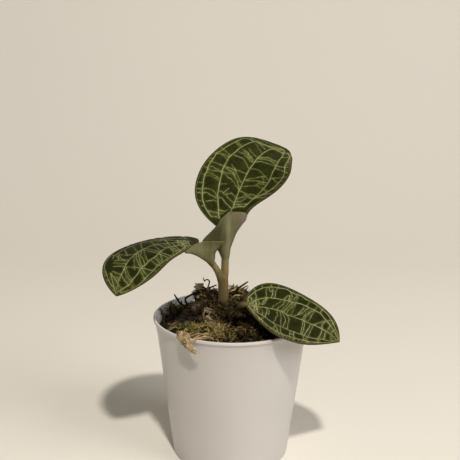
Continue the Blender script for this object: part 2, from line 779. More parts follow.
# %% Rootlets and twigs
ROOTLETS = [
    # paths of points in mm: x, y, z, radius
    [(-18.4, 9.4, 52.0, 0.42), (-18.7, 9.0, 55.6, 0.40), (-19.9, 9.0, 56.8, 0.38),
     (-21.3, 9.0, 59.0, 0.34), (-22.1, 9.0, 60.4, 0.24)],
    [(-18.6, 9.2, 54.4, 0.28), (-19.3, 9.0, 57.0, 0.24), (-19.5, 9.0, 57.9, 0.14)],
    [(-17.0, 7.2, 52.0, 0.44), (-17.2, 7.0, 56.8, 0.42), (-17.8, 7.0, 58.7, 0.40),
     (-17.1, 7.0, 59.9, 0.40), (-15.1, 7.0, 61.0, 0.42), (-13.4, 7.0, 61.6, 0.40),
     (-12.2, 7.0, 62.0, 0.34)],
    [(-25.6, -2.6, 50.6, 0.38), (-26.0, -3.0, 54.6, 0.34), (-26.6, -3.2, 57.0, 0.28),
     (-27.2, -3.2, 59.0, 0.16)],
    [(-10.9, 6.0, 64.4, 0.34), (-9.3, 4.6, 63.4, 0.36), (-7.6, 3.2, 61.0, 0.34),
     (-5.8, 2.6, 57.6, 0.3)],
    [(-9.6, 5.2, 62.6, 0.3), (-8.4, 5.0, 64.2, 0.32), (-7.2, 5.0, 64.8, 0.30),
     (-6.0, 5.0, 65.4, 0.24)],
    [(1.2, 3.0, 61.6, 0.46), (1.9, 2.4, 64.0, 0.44), (2.7, 2.0, 65.2, 0.40),
     (4.6, 2.0, 66.6, 0.36), (6.2, 2.0, 67.7, 0.24)],
    [(-19.6, -9.0, 50.4, 0.3), (-18.6, -10.2, 54.0, 0.3), (-16.4, -11.2, 55.2, 0.28),
     (-14.6, -12.0, 54.4, 0.24), (-13.6, -12.6, 52.6, 0.2)],
    [(-12.6, 1.0, 52.6, 0.3), (-12.0, 0.6, 56.2, 0.25), (-12.6, 0.2, 58.2, 0.15)],
    [(-16.4, 2.6, 52.0, 0.3), (-15.2, 2.0, 55.6, 0.24), (-13.6, 1.7, 57.4, 0.14)],
    [(-20.6, -4.0, 51.0, 0.3), (-19.4, -6.4, 53.4, 0.3), (-16.6, -8.0, 54.0, 0.26),
     (-14.0, -8.4, 53.2, 0.2)],
]
CURLED = [
    [(-8.6, 4.7, 60.5, 0.42), (-9.0, 4.6, 63.0, 0.40), (-9.1, 4.5, 64.4, 0.36),
     (-8.7, 4.5, 65.9, 0.31), (-8.5, 4.5, 66.8, 0.28), (-8.8, 4.5, 67.5, 0.26),
     (-9.5, 4.5, 67.8, 0.25), (-10.2, 4.5, 67.4, 0.22), (-10.4, 4.5, 67.0, 0.20),
     (-10.6, 4.5, 67.7, 0.20), (-11.0, 4.5, 68.6, 0.15)],
]
RUSTY_TWIGS = [
    [(3.2, 4.0, 61.0, 0.30), (3.9, 4.0, 63.7, 0.28), (4.8, 4.0, 64.7, 0.26),
     (6.3, 4.0, 65.5, 0.16)],
    [(4.6, 5.2, 60.0, 0.26), (5.6, 5.4, 63.0, 0.2), (6.6, 5.4, 64.6, 0.12)],
]
PALE_LOOP = [
    [(-10.9, -3.4, 54.4, 0.3), (-10.7, -3.9, 57.2, 0.32), (-9.9, -4.2, 58.1, 0.32),
     (-8.9, -4.3, 57.8, 0.32), (-8.7, -4.3, 56.7, 0.3), (-9.6, -4.4, 55.8, 0.26)],
    [(-24.2, -15.4, 53.2, 0.16), (-23.3, -16.2, 55.0, 0.22), (-22.3, -16.6, 56.0, 0.22),
     (-21.2, -16.6, 56.2, 0.2), (-20.4, -16.4, 55.4, 0.18), (-20.2, -16.0, 53.6, 0.14)],
    [(-24.6, -14.0, 53.4, 0.14), (-23.0, -14.4, 55.6, 0.2), (-21.4, -14.8, 57.4, 0.16)],
]


def side_roots(paths, seed):
    """Short hair roots that leave the rootlets at random places."""
    rng = random.Random(seed)
    found = []
    for path in paths:
        for _ in range(3):
            i, t = rng.randrange(1, len(path)), rng.random()
            x, y, z = (a + (b - a) * t for a, b in zip(path[i - 1][:3], path[i][:3]))
            swing, out = rng.uniform(0, math.tau), rng.uniform(0.8, 1.8)
            found.append([
                (x, y, z, 0.15),
                (x + 0.6 * out * math.cos(swing), y + 0.5 * out * math.sin(swing),
                 z + rng.uniform(-0.3, 0.5), 0.12),
                (x + out * math.cos(swing + 0.5), y + 0.8 * out * math.sin(swing + 0.5),
                 z + rng.uniform(-0.9, 0.6), 0.06),
            ])
    return found


settle(sweep(ROOTLETS + side_roots(ROOTLETS, 5), "rootlets", "dead_rootlets", 0.3, 7),
       "growing_mix")
settle(sweep(CURLED, "curled_rootlet", "pale_rootlet", 0.2), "growing_mix")
settle(sweep(RUSTY_TWIGS, "rusty_twigs", "rusty_rootlets", 0.3, 6), "moss_rust")
settle(sweep(PALE_LOOP, "pale_loops", "pale_moss", 0.25), "moss_fresh")

# %% [markdown]
# ## Moss
# Sphagnum grows as soft shoots with tiny overlapping leaflets. One shoot is modelled from a
# bent stalk and a spiral of pointed leaflets, and the scattering tree plants hundreds of them
# over each clump of the CAD. Five finishes tell fresh, green, rusty, umber and pale moss apart.

# %% A moss shoot
def moss_shoot(name, length, bend, leaflets, seed, thick=0.17):
    """A stalk with leaflets in a spiral; the shoot grows along +Z and bends over."""
    rng = random.Random(seed)

    def spine(t):
        return Vector((bend * t * t, 0.25 * bend * math.sin(3 * t), length * (t - 0.25 * t * t)))

    points, faces, sides, rows = [], [], 4, 5
    for i in range(rows):
        t = i / (rows - 1)
        for k in range(sides):
            angle = math.tau * k / sides
            reach = thick * (1 - 0.7 * t)
            points.append(spine(t) + reach * Vector((math.cos(angle), math.sin(angle), 0)))
            if i:
                a, b = (i - 1) * sides, i * sides
                n = (k + 1) % sides
                faces.append((a + k, a + n, b + n, b + k))
    for i in range(leaflets):
        t = 0.12 + 0.88 * i / leaflets
        angle = 2.4 * i + rng.uniform(-0.3, 0.3)
        out = Vector((math.cos(angle), math.sin(angle), rng.uniform(0.25, 0.9))).normalized()
        aside = out.cross(Vector((0, 0, 1))).normalized()
        size = rng.uniform(0.7, 1.1) * (1.15 - 0.6 * t)
        rise = Vector((0, 0, 0.06))
        first = len(points)
        points += [
            spine(t) - 0.05 * aside,
            spine(t) + size * (0.45 * out + 0.22 * aside) + rise,
            spine(t) + size * (out + Vector((0, 0, 0.25))),
            spine(t) + size * (0.45 * out - 0.22 * aside) + rise,
        ]
        faces.append((first, first + 1, first + 2, first + 3))
    return kept_aside(new_object(name, [p * MM for p in points], faces))


SHOOT = moss_shoot("moss_shoot", 3.0, 1.3, 22, 3)
LONG_SHOOT = moss_shoot("long_moss_shoot", 4.2, 2.4, 22, 9)
STRAND = moss_shoot("moss_strand", 5.0, 1.6, 4, 5)
BROAD_STRAND = moss_shoot("broad_moss_strand", 3.6, 2.0, 9, 7, 0.4)
print("a moss shoot has", len(SHOOT.data.polygons), "faces")

# %% [markdown]
# Under the shoots lies the clump itself. The CAD's clump is smooth, so a copy of it has its
# triangles split finer and its points pushed in by noise. They are never pushed out, and so
# the piece stays within the CAD's size. The chips of wood are made the same way below.

# %% The clump under the shoots
SAME_PLACE = 0.002


def wear(obj, finish):
    obj.data.materials.clear()
    obj.data.materials.append(finish)
    obj.data.shade_smooth()
    return obj


def finer_copy(node_name, name, levels):
    """A CAD node's mesh with its loose triangles joined up and each split finer."""
    bm = bmesh.new()
    bm.from_mesh(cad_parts[node_name].data)
    bmesh.ops.remove_doubles(bm, verts=bm.verts, dist=SAME_PLACE * MM)
    obj = add_object(name, mesh_from(bm, name))
    finer = obj.modifiers.new("Finer", "SUBSURF")
    finer.subdivision_type = "SIMPLE"
    finer.levels = finer.render_levels = levels
    return plain_mesh(obj, name)


def pushed_in(obj, depth_at):
    """Moves every point inwards by the depth in mm at its place, and never outwards."""
    normals = [vert.normal.copy() for vert in obj.data.vertices]
    for vert, normal in zip(obj.data.vertices, normals):
        vert.co -= normal * max(0.0, depth_at(vert.co / MM)) * MM
    return obj


def furrowed_clump(node_name, name):
    """The CAD's clump with a finer, furrowed skin just inside it."""
    def depth_at(place):
        return 0.5 + 0.5 * noise.noise(place / 1.3) + 0.25 * noise.noise(place / 0.5)

    return wear(pushed_in(finer_copy(node_name, name, 2), depth_at), stuff("moss_bed"))


print("points within", SAME_PLACE, "mm of each other are joined before a copy is split")

# %% [markdown]
# Each clump gets its own mixture of shoots. The front one is fresh at the left and turns brown
# to the right, where dry strands stand upright; the small one at the back is deep green.

# %% Clumps of moss
SHOOT_LEAN, CHANGE_X = 0.8, -5


def plant(bed, name, slot, kinds, smallest, largest, seed):
    """Scatters each kind of moss over a bed: finish, shape, density, and a weight if it has one."""
    for i, (finish, shape, per_area, *weight) in enumerate(kinds):
        weighed = bed_for(bed, weight[0] if weight else everywhere)
        shoots = scatter(weighed, f"{name}_{i}", shape, finish, per_area, smallest, largest,
                         SHOOT_LEAN, seed + 7 * i)
        settle(shoots, slot)


def left_part(x, y, z):
    return 1.0 if x < CHANGE_X else 0.3


def right_part(x, y, z):
    return 0.15 if x < CHANGE_X else 1.0


CLUMPS = {
    # node: slot, largest, then for each kind: finish, shape, density, weight
    "moss_front": ("moss_fresh", 1.1, ("fresh_moss", SHOOT, 76, left_part),
                   ("fresh_moss", BROAD_STRAND, 34, left_part),
                   ("pale_moss", LONG_SHOOT, 20, left_part),
                   ("green_moss", SHOOT, 18), ("umber_moss", SHOOT, 60, right_part),
                   ("rusty_moss", BROAD_STRAND, 60, right_part),
                   ("pale_moss", BROAD_STRAND, 10, right_part)),
    "moss_brown": ("moss_rust", 1.1, ("umber_moss", SHOOT, 100),
                   ("umber_moss", BROAD_STRAND, 24), ("rusty_moss", BROAD_STRAND, 36),
                   ("pale_moss", STRAND, 10)),
    "moss_back": ("moss_fresh", 0.85, ("green_moss", SHOOT, 200), ("pale_moss", SHOOT, 16)),
    "moss_crown": ("moss_rust", 0.85, ("rusty_moss", SHOOT, 190), ("pale_moss", LONG_SHOOT, 50)),
}
for node_name, (slot, largest, *kinds) in CLUMPS.items():
    clump = settle(furrowed_clump(node_name, node_name + "_bed"), slot, node_name)
    plant(clump, node_name, slot, kinds, 0.5 * largest, largest, 20)

# %% [markdown]
# Eight lumps rise out of the mix between the clumps: crumbly mix and yellow moss behind the
# stem, mossy and plain brown lumps at its left, moss round its foot and over the right leaf's
# stalk, and moss against the wall. Each is an uneven ball, half sunk in the mix, with its own
# mixture on it.

# %% Lumps in the mix
def lump(name, centre, radii, finish):
    """A ball in mm made uneven by noise."""
    bm = bmesh.new()
    bmesh.ops.create_icosphere(bm, subdivisions=4, radius=1.0)
    for vert in bm.verts:
        coarse = noise.noise(vert.co * 1.6 + Vector(centre))
        swell = 1 + 0.24 * coarse + 0.1 * noise.noise(vert.co * 5 + Vector(centre))
        vert.co = Vector(c + r * s * swell for c, r, s in zip(centre, radii, vert.co)) * MM
    return wear(add_object(name, mesh_from(bm, name)), stuff(finish))


LUMPS = {
    # name: slot, centre, radii, own finish, then for each kind: finish, shape, density
    "crumbly_lump": ("growing_mix", (-7.9, 6.6, 58.4), (4.4, 3.4, 3.8), "damp_mix",
                     ("umber_moss", SHOOT, 110), ("brown_fibres", FIBRE, 60),
                     ("rusty_moss", SHOOT, 36)),
    "mossy_lump": ("moss_rust", (-12.0, 7.4, 59.4), (2.2, 1.8, 2.9), "moss_bed",
                   ("green_moss", SHOOT, 120), ("pale_moss", SHOOT, 70),
                   ("fresh_moss", SHOOT, 60)),
    "brown_lump": ("bark", (-13.6, 1.2, 57.0), (2.8, 2.2, 2.2), "brown_lump",
                   ("brown_fibres", FIBRE, 60), ("umber_moss", SHOOT, 70)),
    "foot_of_the_stem": ("moss_rust", (-3.4, -0.5, 55.6), (3.4, 3.0, 4.2), "moss_bed",
                         ("umber_moss", SHOOT, 170), ("rusty_moss", SHOOT, 30),
                         ("green_moss", SHOOT, 40)),
    "moss_over_the_stalk": ("moss_rust", (1.8, -6.6, 58.2), (4.0, 4.2, 4.6), "moss_bed",
                            ("umber_moss", SHOOT, 100), ("umber_moss", BROAD_STRAND, 40),
                            ("green_moss", SHOOT, 50)),
    "yellow_lump": ("moss_fresh", (0.8, 6.2, 62.0), (2.0, 1.5, 1.7), "moss_bed",
                    ("fresh_moss", SHOOT, 130), ("pale_moss", SHOOT, 50)),
    "moss_by_the_wall": ("moss_fresh", (-19.0, -14.2, 53.0), (4.2, 2.6, 3.2), "moss_bed",
                         ("green_moss", SHOOT, 140), ("fresh_moss", SHOOT, 50),
                         ("rusty_moss", LONG_SHOOT, 30)),
    "green_tuft": ("moss_fresh", (-22.6, 6.4, 54.6), (1.7, 1.5, 2.4), "moss_bed",
                   ("green_moss", LONG_SHOOT, 150), ("pale_moss", SHOOT, 20)),
}
for name, (slot, centre, radii, finish, *kinds) in LUMPS.items():
    plant(settle(lump(name, centre, radii, finish), slot), name, slot, kinds, 0.4, 0.85, 60)

# %% [markdown]
# Loose moss also lies between the clumps: brown round the stem's foot, where it climbs the
# stem a little, green in scraps elsewhere, and a pale yellow tuft behind the stem.

# %% Loose moss between the clumps
def at_the_foot(x, y, z):
    patchy = max(0.0, 0.5 + noise.noise(Vector((x, y, 7)) / 2.5))
    return patchy * math.exp(-((x + 2.4) ** 2 + (y + 1.6) ** 2) / 44)


def in_scraps(x, y, z):
    return max(0.0, noise.noise(Vector((x, y, 2)) / 4.0))


for name, weight, shape, finish, per_area, largest, seed in [
    ("loose_moss_brown", at_the_foot, SHOOT, "rusty_moss", 260, 0.8, 41),
    ("loose_moss_green", in_scraps, SHOOT, "green_moss", 70, 0.75, 47),
    ("loose_strands", on_the_mound, STRAND, "rusty_moss", 26, 0.8, 53),
    ("yellow_tuft", around(0.4, 8.4, 2.6), LONG_SHOOT, "fresh_moss", 330, 0.95, 59),
]:
    settle(scatter(bed_for(mix_bed, weight), name, shape, finish, per_area, 0.4, largest, 1.0,
                   seed), "moss_rust" if finish == "rusty_moss" else "moss_fresh")

# %% [markdown]
# ## The straw tuft and the dry strips
# A dry tuft of old moss hangs over the lip at the front left. It is a bundle of crinkled
# flat strands that come off the mix, arch over the bead and fray outside it. One route is
# enough: each strand keeps to it with its own offset, wave and length.

# %% Straw strands over the lip
STRAW_ROUTE = [
    # distance from the axis, angle, height
    (22.0, -127.0, 53.6),
    (26.4, -126.0, 55.0),
    (29.4, -125.0, 56.2),
    (31.2, -122.8, 55.2),
    (31.7, -119.2, 53.2),
    (31.7, -115.4, 51.2),
    (31.2, -112.2, 49.9),
]


def straw_strands(count, seed, radius, spread, turn):
    """Strands that keep to the route with their own offset, wave, start and end."""
    rng = random.Random(seed)
    strands, steps = [], 12
    for _ in range(count):
        aside, lift, phase = rng.gauss(0, spread), rng.uniform(-0.2, 0.8), rng.uniform(0, 6.3)
        first = rng.uniform(1.5, 3.2)
        last = min(5.95, first + rng.uniform(1.6, 3.4))
        strand = []
        for i in range(steps):
            t = first + (last - first) * i / (steps - 1)
            k = int(t)
            a, b = STRAW_ROUTE[k], STRAW_ROUTE[k + 1]
            r, angle, z = (p + (q - p) * (t - k) for p, q in zip(a, b))
            swing = math.sin(phase + 2 * t) + 0.7 * math.sin(3 * phase + 8 * t)
            angle = math.radians(angle + turn + aside * (1 - 0.11 * t) + swing)
            r += 0.3 * math.sin(2 * phase + 3.1 * t) + (0.7 * lift if t > 2.5 else 0.0)
            r += 0.3 * math.sin(5 * phase + 9 * t)
            z += (lift if t <= 2.5 else 0.4 * lift) + 0.2 * math.sin(3 * phase + 11 * t)
            taper = math.sin(math.pi * (0.14 + 0.8 * i / (steps - 1)))
            strand.append((r * math.cos(angle), r * math.sin(angle), z,
                           radius * rng.uniform(0.75, 1.2) * taper, phase + 1.6 * t))
        strands.append(strand)
    return strands


settle(sweep(straw_strands(7, 11, 0.36, 1.8, -2.4), "straw_tuft", "dry_straw", 0.35, 6, 0.25),
       "straw", "moss_straw")
for name, count, seed, spread in [("dry_straw", 66, 29, 3.3), ("light_straw", 28, 37, 3.1)]:
    hairs = straw_strands(count, seed, 0.15, spread, -3.0)
    settle(sweep(hairs, name + "_hairs", name, 0.35, 5, 0.6), "straw")

# %% [markdown]
# Strips of the same dry stuff lie on the lip and arch over the moss beside the stem. Each is
# placed by hand, and thin hairs beside it make it look torn.

# %% Dry strips
def frayed(paths, copies, spread, thinner, seed):
    """Thin hairs beside each path, with their own offset and crinkle."""
    rng = random.Random(seed)
    hairs = []
    for path in paths:
        for _ in range(copies):
            dx, dy, dz, phase = *(rng.gauss(0, spread) for _ in range(3)), rng.uniform(0, 6.3)
            hairs.append([
                (x + dx + 0.3 * math.sin(phase + 2 * i), y + dy,
                 z + 0.5 * dz + 0.3 * math.sin(2 * phase + 1.7 * i), thinner * radius, phase + i)
                for i, (x, y, z, radius, _) in enumerate(path[rng.randrange(2):])
            ])
    return hairs


# paths of points in mm: x, y, z, radius, twist
RIM_STRAW = [
    [(-15.8, -27.2, 53.8, 0.2, 0), (-15.0, -26.9, 54.6, 0.26, 0), (-13.6, -26.4, 55.3, 0.28, 1),
     (-11.1, -25.6, 55.9, 0.28, 1.2), (-9.2, -24.8, 55.2, 0.24, 1), (-7.6, -24.0, 54.2, 0.2, 1)],
    [(-15.2, -25.0, 54.0, 0.2, 0), (-13.4, -24.6, 55.0, 0.26, 1), (-10.8, -24.2, 54.8, 0.26, 2),
     (-8.4, -23.6, 54.0, 0.2, 3)],
    [(-16.5, -19.6, 53.6, 0.22, 0), (-13.2, -20.6, 55.2, 0.26, 1), (-9.8, -21.4, 55.0, 0.22, 2),
     (-6.6, -20.8, 53.8, 0.12, 2)],
]
DRY_STRIPS = [
    [(-1.9, 4.2, 59.4, 0.25, 0), (-1.5, 3.2, 62.6, 0.45, 0.2), (-0.3, 3.0, 63.4, 0.6, 0.3),
     (1.4, 3.0, 63.8, 0.65, 0.3), (3.2, 3.0, 63.4, 0.55, 0.4), (4.7, 3.2, 62.2, 0.4, 0.5),
     (5.4, 4.0, 59.4, 0.25, 0.5)],
    [(-0.2, 2.8, 59.6, 0.25, 0.4), (0.9, 2.4, 61.8, 0.35, 0.5), (2.4, 2.4, 62.2, 0.4, 0.6),
     (4.0, 2.4, 61.6, 0.35, 0.7), (5.0, 2.8, 59.6, 0.2, 0.8)],
    [(0.3, 2.2, 58.8, 0.25, 0.8), (1.7, 2.0, 60.6, 0.3, 0.9), (3.2, 2.0, 60.7, 0.3, 1.0),
     (4.6, 2.2, 58.8, 0.2, 1.0)],
]
rim_hairs = frayed(RIM_STRAW, 4, 0.35, 0.6, 71)
settle(sweep(RIM_STRAW + rim_hairs, "straw_on_the_rim", "dry_straw", 0.3, 6, 0.4), "straw")
strip_hairs = frayed(DRY_STRIPS, 3, 0.4, 0.35, 83)
settle(sweep(DRY_STRIPS + strip_hairs, "dry_strips", "dry_straw", 0.25, 10, 0.28), "straw")

# %% [markdown]
# ## Bark and chips
# The bark chunk and the chips are torn wood: long fibres, worn corners, and layers of light
# and dark. The CAD's blocks are split finer and get furrows along the grain, never outwards.
# On the chunk's top sits a peeled flake of pale inner bark, built from four thin plates.

# %% Torn wood
def torn_wood(node_name, name, finish, grain, depth):
    """A CAD flake with furrows that run along its grain, a direction in space."""
    along = Vector(grain).normalized()

    def depth_at(place):
        across = place - along * place.dot(along) * 0.8
        return depth * (0.5 + 0.9 * noise.noise(across / 0.7) + 0.5 * noise.noise(place / 0.4))

    return wear(pushed_in(finer_copy(node_name, name, 3), depth_at), stuff(finish))


PEELED = [
    # a layer's centre, size, turn in degrees
    ((-12.4, 7.9, 63.4), (3.1, 2.2, 0.6), 6),
    ((-12.5, 7.8, 63.95), (3.5, 1.9, 0.4), -5),
    ((-12.2, 7.9, 64.45), (2.7, 1.7, 0.4), 4),
    ((-12.3, 8.0, 64.9), (3.1, 1.4, 0.3), -3),
]


def layered_flake(layers, name, finish):
    """Thin torn plates that lie on each other."""
    bm = bmesh.new()
    for centre, size, turned in layers:
        plate = bmesh.ops.create_cube(bm, size=1.0)["verts"]
        edges = list({edge for vert in plate for edge in vert.link_edges})
        bmesh.ops.subdivide_edges(bm, edges=edges, cuts=7, use_grid_fill=True)
        turn = Matrix.Rotation(math.radians(turned), 3, "Y")
        for vert in bm.verts:
            if vert.tag:
                continue
            vert.tag = True
            torn = noise.noise(Vector(centre) * 3 + vert.co * 3.4)
            place = Vector(c * s for c, s in zip(vert.co, size)) * (1 + 0.3 * torn)
            vert.co = (turn @ place + Vector(centre)) * MM
    return wear(add_object(name, mesh_from(bm, name)), stuff(finish))


for node_name, finish, grain, depth in [
    ("bark_chunk", "weathered_bark", (0.2, -0.1, 1), 0.35),
    ("bark_left", "weathered_bark", (1, 0.2, 0.1), 0.4),
    ("wood_chip_upper", "light_chips", (0.8, 0.6, -0.3), 0.5),
    ("wood_chip_lower", "light_chips", (0.9, -0.4, -0.3), 0.5),
]:
    settle(torn_wood(node_name, node_name + "_torn", finish, grain, depth), "bark", node_name)
settle(layered_flake(PEELED, "peeled_flake", "peeled_bark"), "bark")

# %% [markdown]
# ## Stem, stalks, collar and wing
# The plant's grey-green parts grow out of each other without a seam: the stem forks into two
# stalks, the upper leaf's base rolls into a collar, and the left leaf's near edge turns up
# into a wing. Tubes follow the stalks, and each flap is a sheet across a few rails.

# %% The tubes and the two flaps
STALKS = [
    # the stem
    [(-3.5, 0.2, 44.0, 1.9), (-3.45, 0.1, 51.0, 2.0), (-3.4, 0.0, 55.5, 2.0),
     (-3.4, 0.0, 57.2, 2.1), (-3.35, 0.0, 58.6, 2.0), (-3.35, 0.0, 64.4, 1.98),
     (-3.35, 0.1, 66.0, 1.98), (-3.35, 0.2, 67.2, 1.97), (-3.4, 0.4, 69.4, 1.85),
     (-3.5, 0.5, 70.8, 1.45), (-3.6, 0.5, 71.8, 0.7)],
    # the upper leaf's stalk
    [(-3.3, 0.2, 64.6, 1.2), (-3.15, 0.4, 68.0, 1.5), (-2.85, 0.9, 71.2, 1.5),
     (-2.75, 1.2, 74.0, 1.46), (-2.7, 1.5, 78.6, 1.42), (-2.8, 2.6, 82.0, 1.3),
     (-2.9, 4.3, 85.0, 1.15), (-2.7, 5.9, 87.6, 0.9), (-2.0, 7.4, 90.4, 0.62),
     (-1.0, 9.0, 93.6, 0.4)],
    # the left leaf's stalk
    [(-3.5, 0.0, 64.0, 0.9), (-3.8, 0.0, 66.6, 1.3), (-4.6, 0.0, 70.0, 1.32),
     (-5.5, 0.0, 72.4, 1.28), (-6.8, 0.0, 74.5, 1.22), (-8.3, -0.1, 76.4, 1.36),
     (-9.8, -0.2, 78.2, 1.42), (-11.5, -0.3, 80.3, 1.3), (-13.3, -0.3, 82.5, 1.05),
     (-15.4, -0.3, 83.7, 0.7)],
    # the right leaf's stalk
    [(-0.9, -2.45, 52.0, 1.35), (0.2, -4.8, 57.0, 1.4), (1.9, -8.6, 60.6, 1.35),
     (3.9, -12.0, 63.2, 1.1), (5.6, -12.2, 63.2, 0.7)],
]
# a flap's rails in mm: lines along it, from its one side edge to the other
COLLAR = (
    [(-3.4, 1.4, 75.5), (-4.4, 1.1, 78.4), (-6.0, 0.8, 81.2), (-8.8, 0.9, 82.8),
     (-11.4, 0.9, 84.0), (-10.4, 0.8, 85.5), (-8.6, 0.6, 87.4), (-6.3, 0.5, 89.9),
     (-4.2, 0.3, 93.0), (-1.4, 0.6, 95.4)],
    [(-2.7, 0.7, 75.5), (-2.8, -0.1, 78.4), (-3.0, -0.6, 81.4), (-3.2, -0.9, 84.1),
     (-2.6, -1.1, 86.8), (-1.4, -1.1, 89.8), (0.2, -1.0, 93.0), (1.9, -0.5, 95.7)],
    [(-1.9, 1.4, 75.5), (-1.3, 1.3, 78.4), (-0.9, 1.3, 81.4), (0.1, 1.5, 84.1),
     (1.2, 1.8, 87.0), (3.2, 2.0, 90.2), (4.8, 2.0, 92.4), (4.9, 1.7, 94.6)],
    [(-2.3, 2.0, 75.5), (-1.9, 2.4, 78.4), (-1.9, 3.4, 81.6), (-1.7, 4.6, 84.4),
     (-0.8, 5.0, 87.4), (1.6, 3.9, 89.8), (3.6, 3.3, 91.8), (5.6, 2.7, 93.4)],
)
WING = (
    [(-17.8, -16.2, 84.8), (-16.6, -13.0, 84.9), (-14.8, -8.8, 85.0), (-12.8, -6.4, 85.4),
     (-10.8, -5.4, 85.6), (-8.2, -4.2, 85.4), (-5.6, -3.3, 85.1), (-3.2, -2.7, 84.8)],
    [(-17.7, -15.9, 84.4), (-16.0, -12.5, 84.0), (-13.6, -8.9, 83.2), (-11.3, -6.2, 82.4),
     (-9.2, -4.5, 81.2), (-7.7, -3.1, 80.8), (-6.4, -2.4, 81.4), (-5.1, -2.1, 83.1)],
    [(-17.6, -15.4, 84.1), (-15.8, -11.8, 83.0), (-13.0, -7.8, 80.8), (-10.8, -4.4, 78.4),
     (-9.1, -2.2, 76.6), (-7.9, -1.2, 75.7), (-7.3, -1.2, 77.6), (-6.6, -1.6, 81.4)],
    [(-18.2, -14.2, 84.7), (-17.0, -8.6, 84.4), (-14.8, -2.8, 83.4), (-11.8, -0.6, 80.6),
     (-9.6, -0.3, 77.9), (-8.2, -0.3, 75.7), (-7.4, -0.5, 76.0), (-6.9, -1.0, 80.4)],
)
FLAP_THICKNESS = 0.74
print(len(STALKS), "tubes and two flaps")

# %% [markdown]
# A flap's rails are smooth curves through a few points, and so are the lines across them. The
# sheet gets a thickness, because a remesh needs closed solids. The voxel remesh melts all the
# pieces into one skin, and a little smoothing rounds what it leaves.

# %% Sheets, and melting into one skin
def smooth_curve(points, shares):
    """The points at some shares of the way along a smooth curve through a few points."""
    points = np.array(points, float)
    lengths = np.linalg.norm(np.diff(points, axis=0), axis=1)
    knots = np.concatenate([[0], np.cumsum(lengths)]) / lengths.sum()
    slopes = np.gradient(points, knots, axis=0)
    found = []
    for share in shares:
        i = min(np.searchsorted(knots, share, side="right") - 1, len(knots) - 2)
        span = knots[i + 1] - knots[i]
        t = (share - knots[i]) / span
        found.append(
            (2 * t**3 - 3 * t**2 + 1) * points[i]
            + (t**3 - 2 * t**2 + t) * span * slopes[i]
            + (3 * t**2 - 2 * t**3) * points[i + 1]
            + (t**3 - t**2) * span * slopes[i + 1]
        )
    return found


def flap(name, rails, rows=64, columns=36):
    """A bowed sheet through its rails, given a thickness."""
    lines = [smooth_curve(rail, np.linspace(0, 1, rows)) for rail in rails]
    points, faces = [], []
    for stations in zip(*lines):
        points += [p * MM for p in smooth_curve(stations, np.linspace(0, 1, columns))]
    for i in range(rows - 1):
        for j in range(columns - 1):
            a = i * columns + j
            faces.append((a, a + columns, a + columns + 1, a + 1))
    sheet = new_object(name, points, faces)
    thick = sheet.modifiers.new("Thickness", "SOLIDIFY")
    thick.thickness = FLAP_THICKNESS * MM
    thick.offset = 0
    return plain_mesh(sheet, name)


def melted(pieces, name, voxel, rounds):
    """The pieces joined into one skin by a voxel remesh, then smoothed."""
    bm = bmesh.new()
    for piece in pieces:
        bm.from_mesh(piece.data)
        bpy.data.objects.remove(piece, do_unlink=True)
    obj = add_object(name, mesh_from(bm, name))
    remesh = obj.modifiers.new("Melt", "REMESH")
    remesh.mode = "VOXEL"
    remesh.voxel_size = voxel * MM
    soften = obj.modifiers.new("Soften", "SMOOTH")
    soften.factor = 0.5
    soften.iterations = rounds
    return plain_mesh(obj, name)


print("a flap is", FLAP_THICKNESS, "mm thick")

# %% [markdown]
# The skin is dull and fleshy. Its colour runs from brown at the foot through olive to
# grey-green, with an orange-brown scar at the fork, a paler ridge on the upper stalk, a dark
# fold in the collar's left half and a purple tint at its right edge. Each is a soft spot
# round a place, read from Object coordinates, over fine lengthwise streaks.

# %% Stem finish
STEM_COLOURS = [
    # height in mm, colour
    (52, (0.020, 0.015, 0.007)),
    (58, (0.045, 0.034, 0.015)),
    (62, (0.134, 0.102, 0.044)),
    (69, (0.118, 0.084, 0.033)),
    (74, (0.170, 0.144, 0.060)),
    (80, (0.146, 0.142, 0.066)),
    (96, (0.120, 0.116, 0.058)),
]
STEM_SPOTS = [
    # place, reach along each axis, colour, strength
    ((-2.2, -1.3, 74.0), (2.2, 2.4, 4.0), (0.25, 0.135, 0.050), 0.65),
    ((3.4, 1.6, 92.0), (4.4, 4.0, 7.5), (0.180, 0.140, 0.115), 0.85),
    ((-9.0, -3.0, 81.0), (10.0, 7.0, 7.0), (0.112, 0.110, 0.052), 0.8),
    ((-9.0, -4.4, 84.6), (10.0, 5.0, 2.6), (0.070, 0.068, 0.028), 0.75),
    ((-7.6, 0.8, 87.0), (8.4, 4.0, 9.0), (0.064, 0.066, 0.024), 0.9),
    ((-4.6, 0.2, 86.6), (4.4, 3.8, 5.6), (0.018, 0.016, 0.004), 1.0),
    ((-1.7, -1.0, 88.0), (1.3, 4.0, 14.0), (0.230, 0.230, 0.135), 0.75),
    ((2.6, -9.0, 60.4), (6.6, 7.0, 6.0), (0.034, 0.030, 0.011), 0.97),
]


def soft_spot(tree, centre, radii):
    """1 at a place in mm and falling to 0 at the given distance along each axis."""
    mapped = node(tree, "ShaderNodeMapping", vector_type="TEXTURE",
                  Vector=node(tree, "ShaderNodeTexCoord").outputs["Object"],
                  Location=[c * MM for c in centre], Scale=[r * MM for r in radii])
    ball = node(tree, "ShaderNodeTexGradient", mapped.outputs[0], gradient_type="SPHERICAL")
    return ranged(tree, ball.outputs["Fac"], 0, 1)


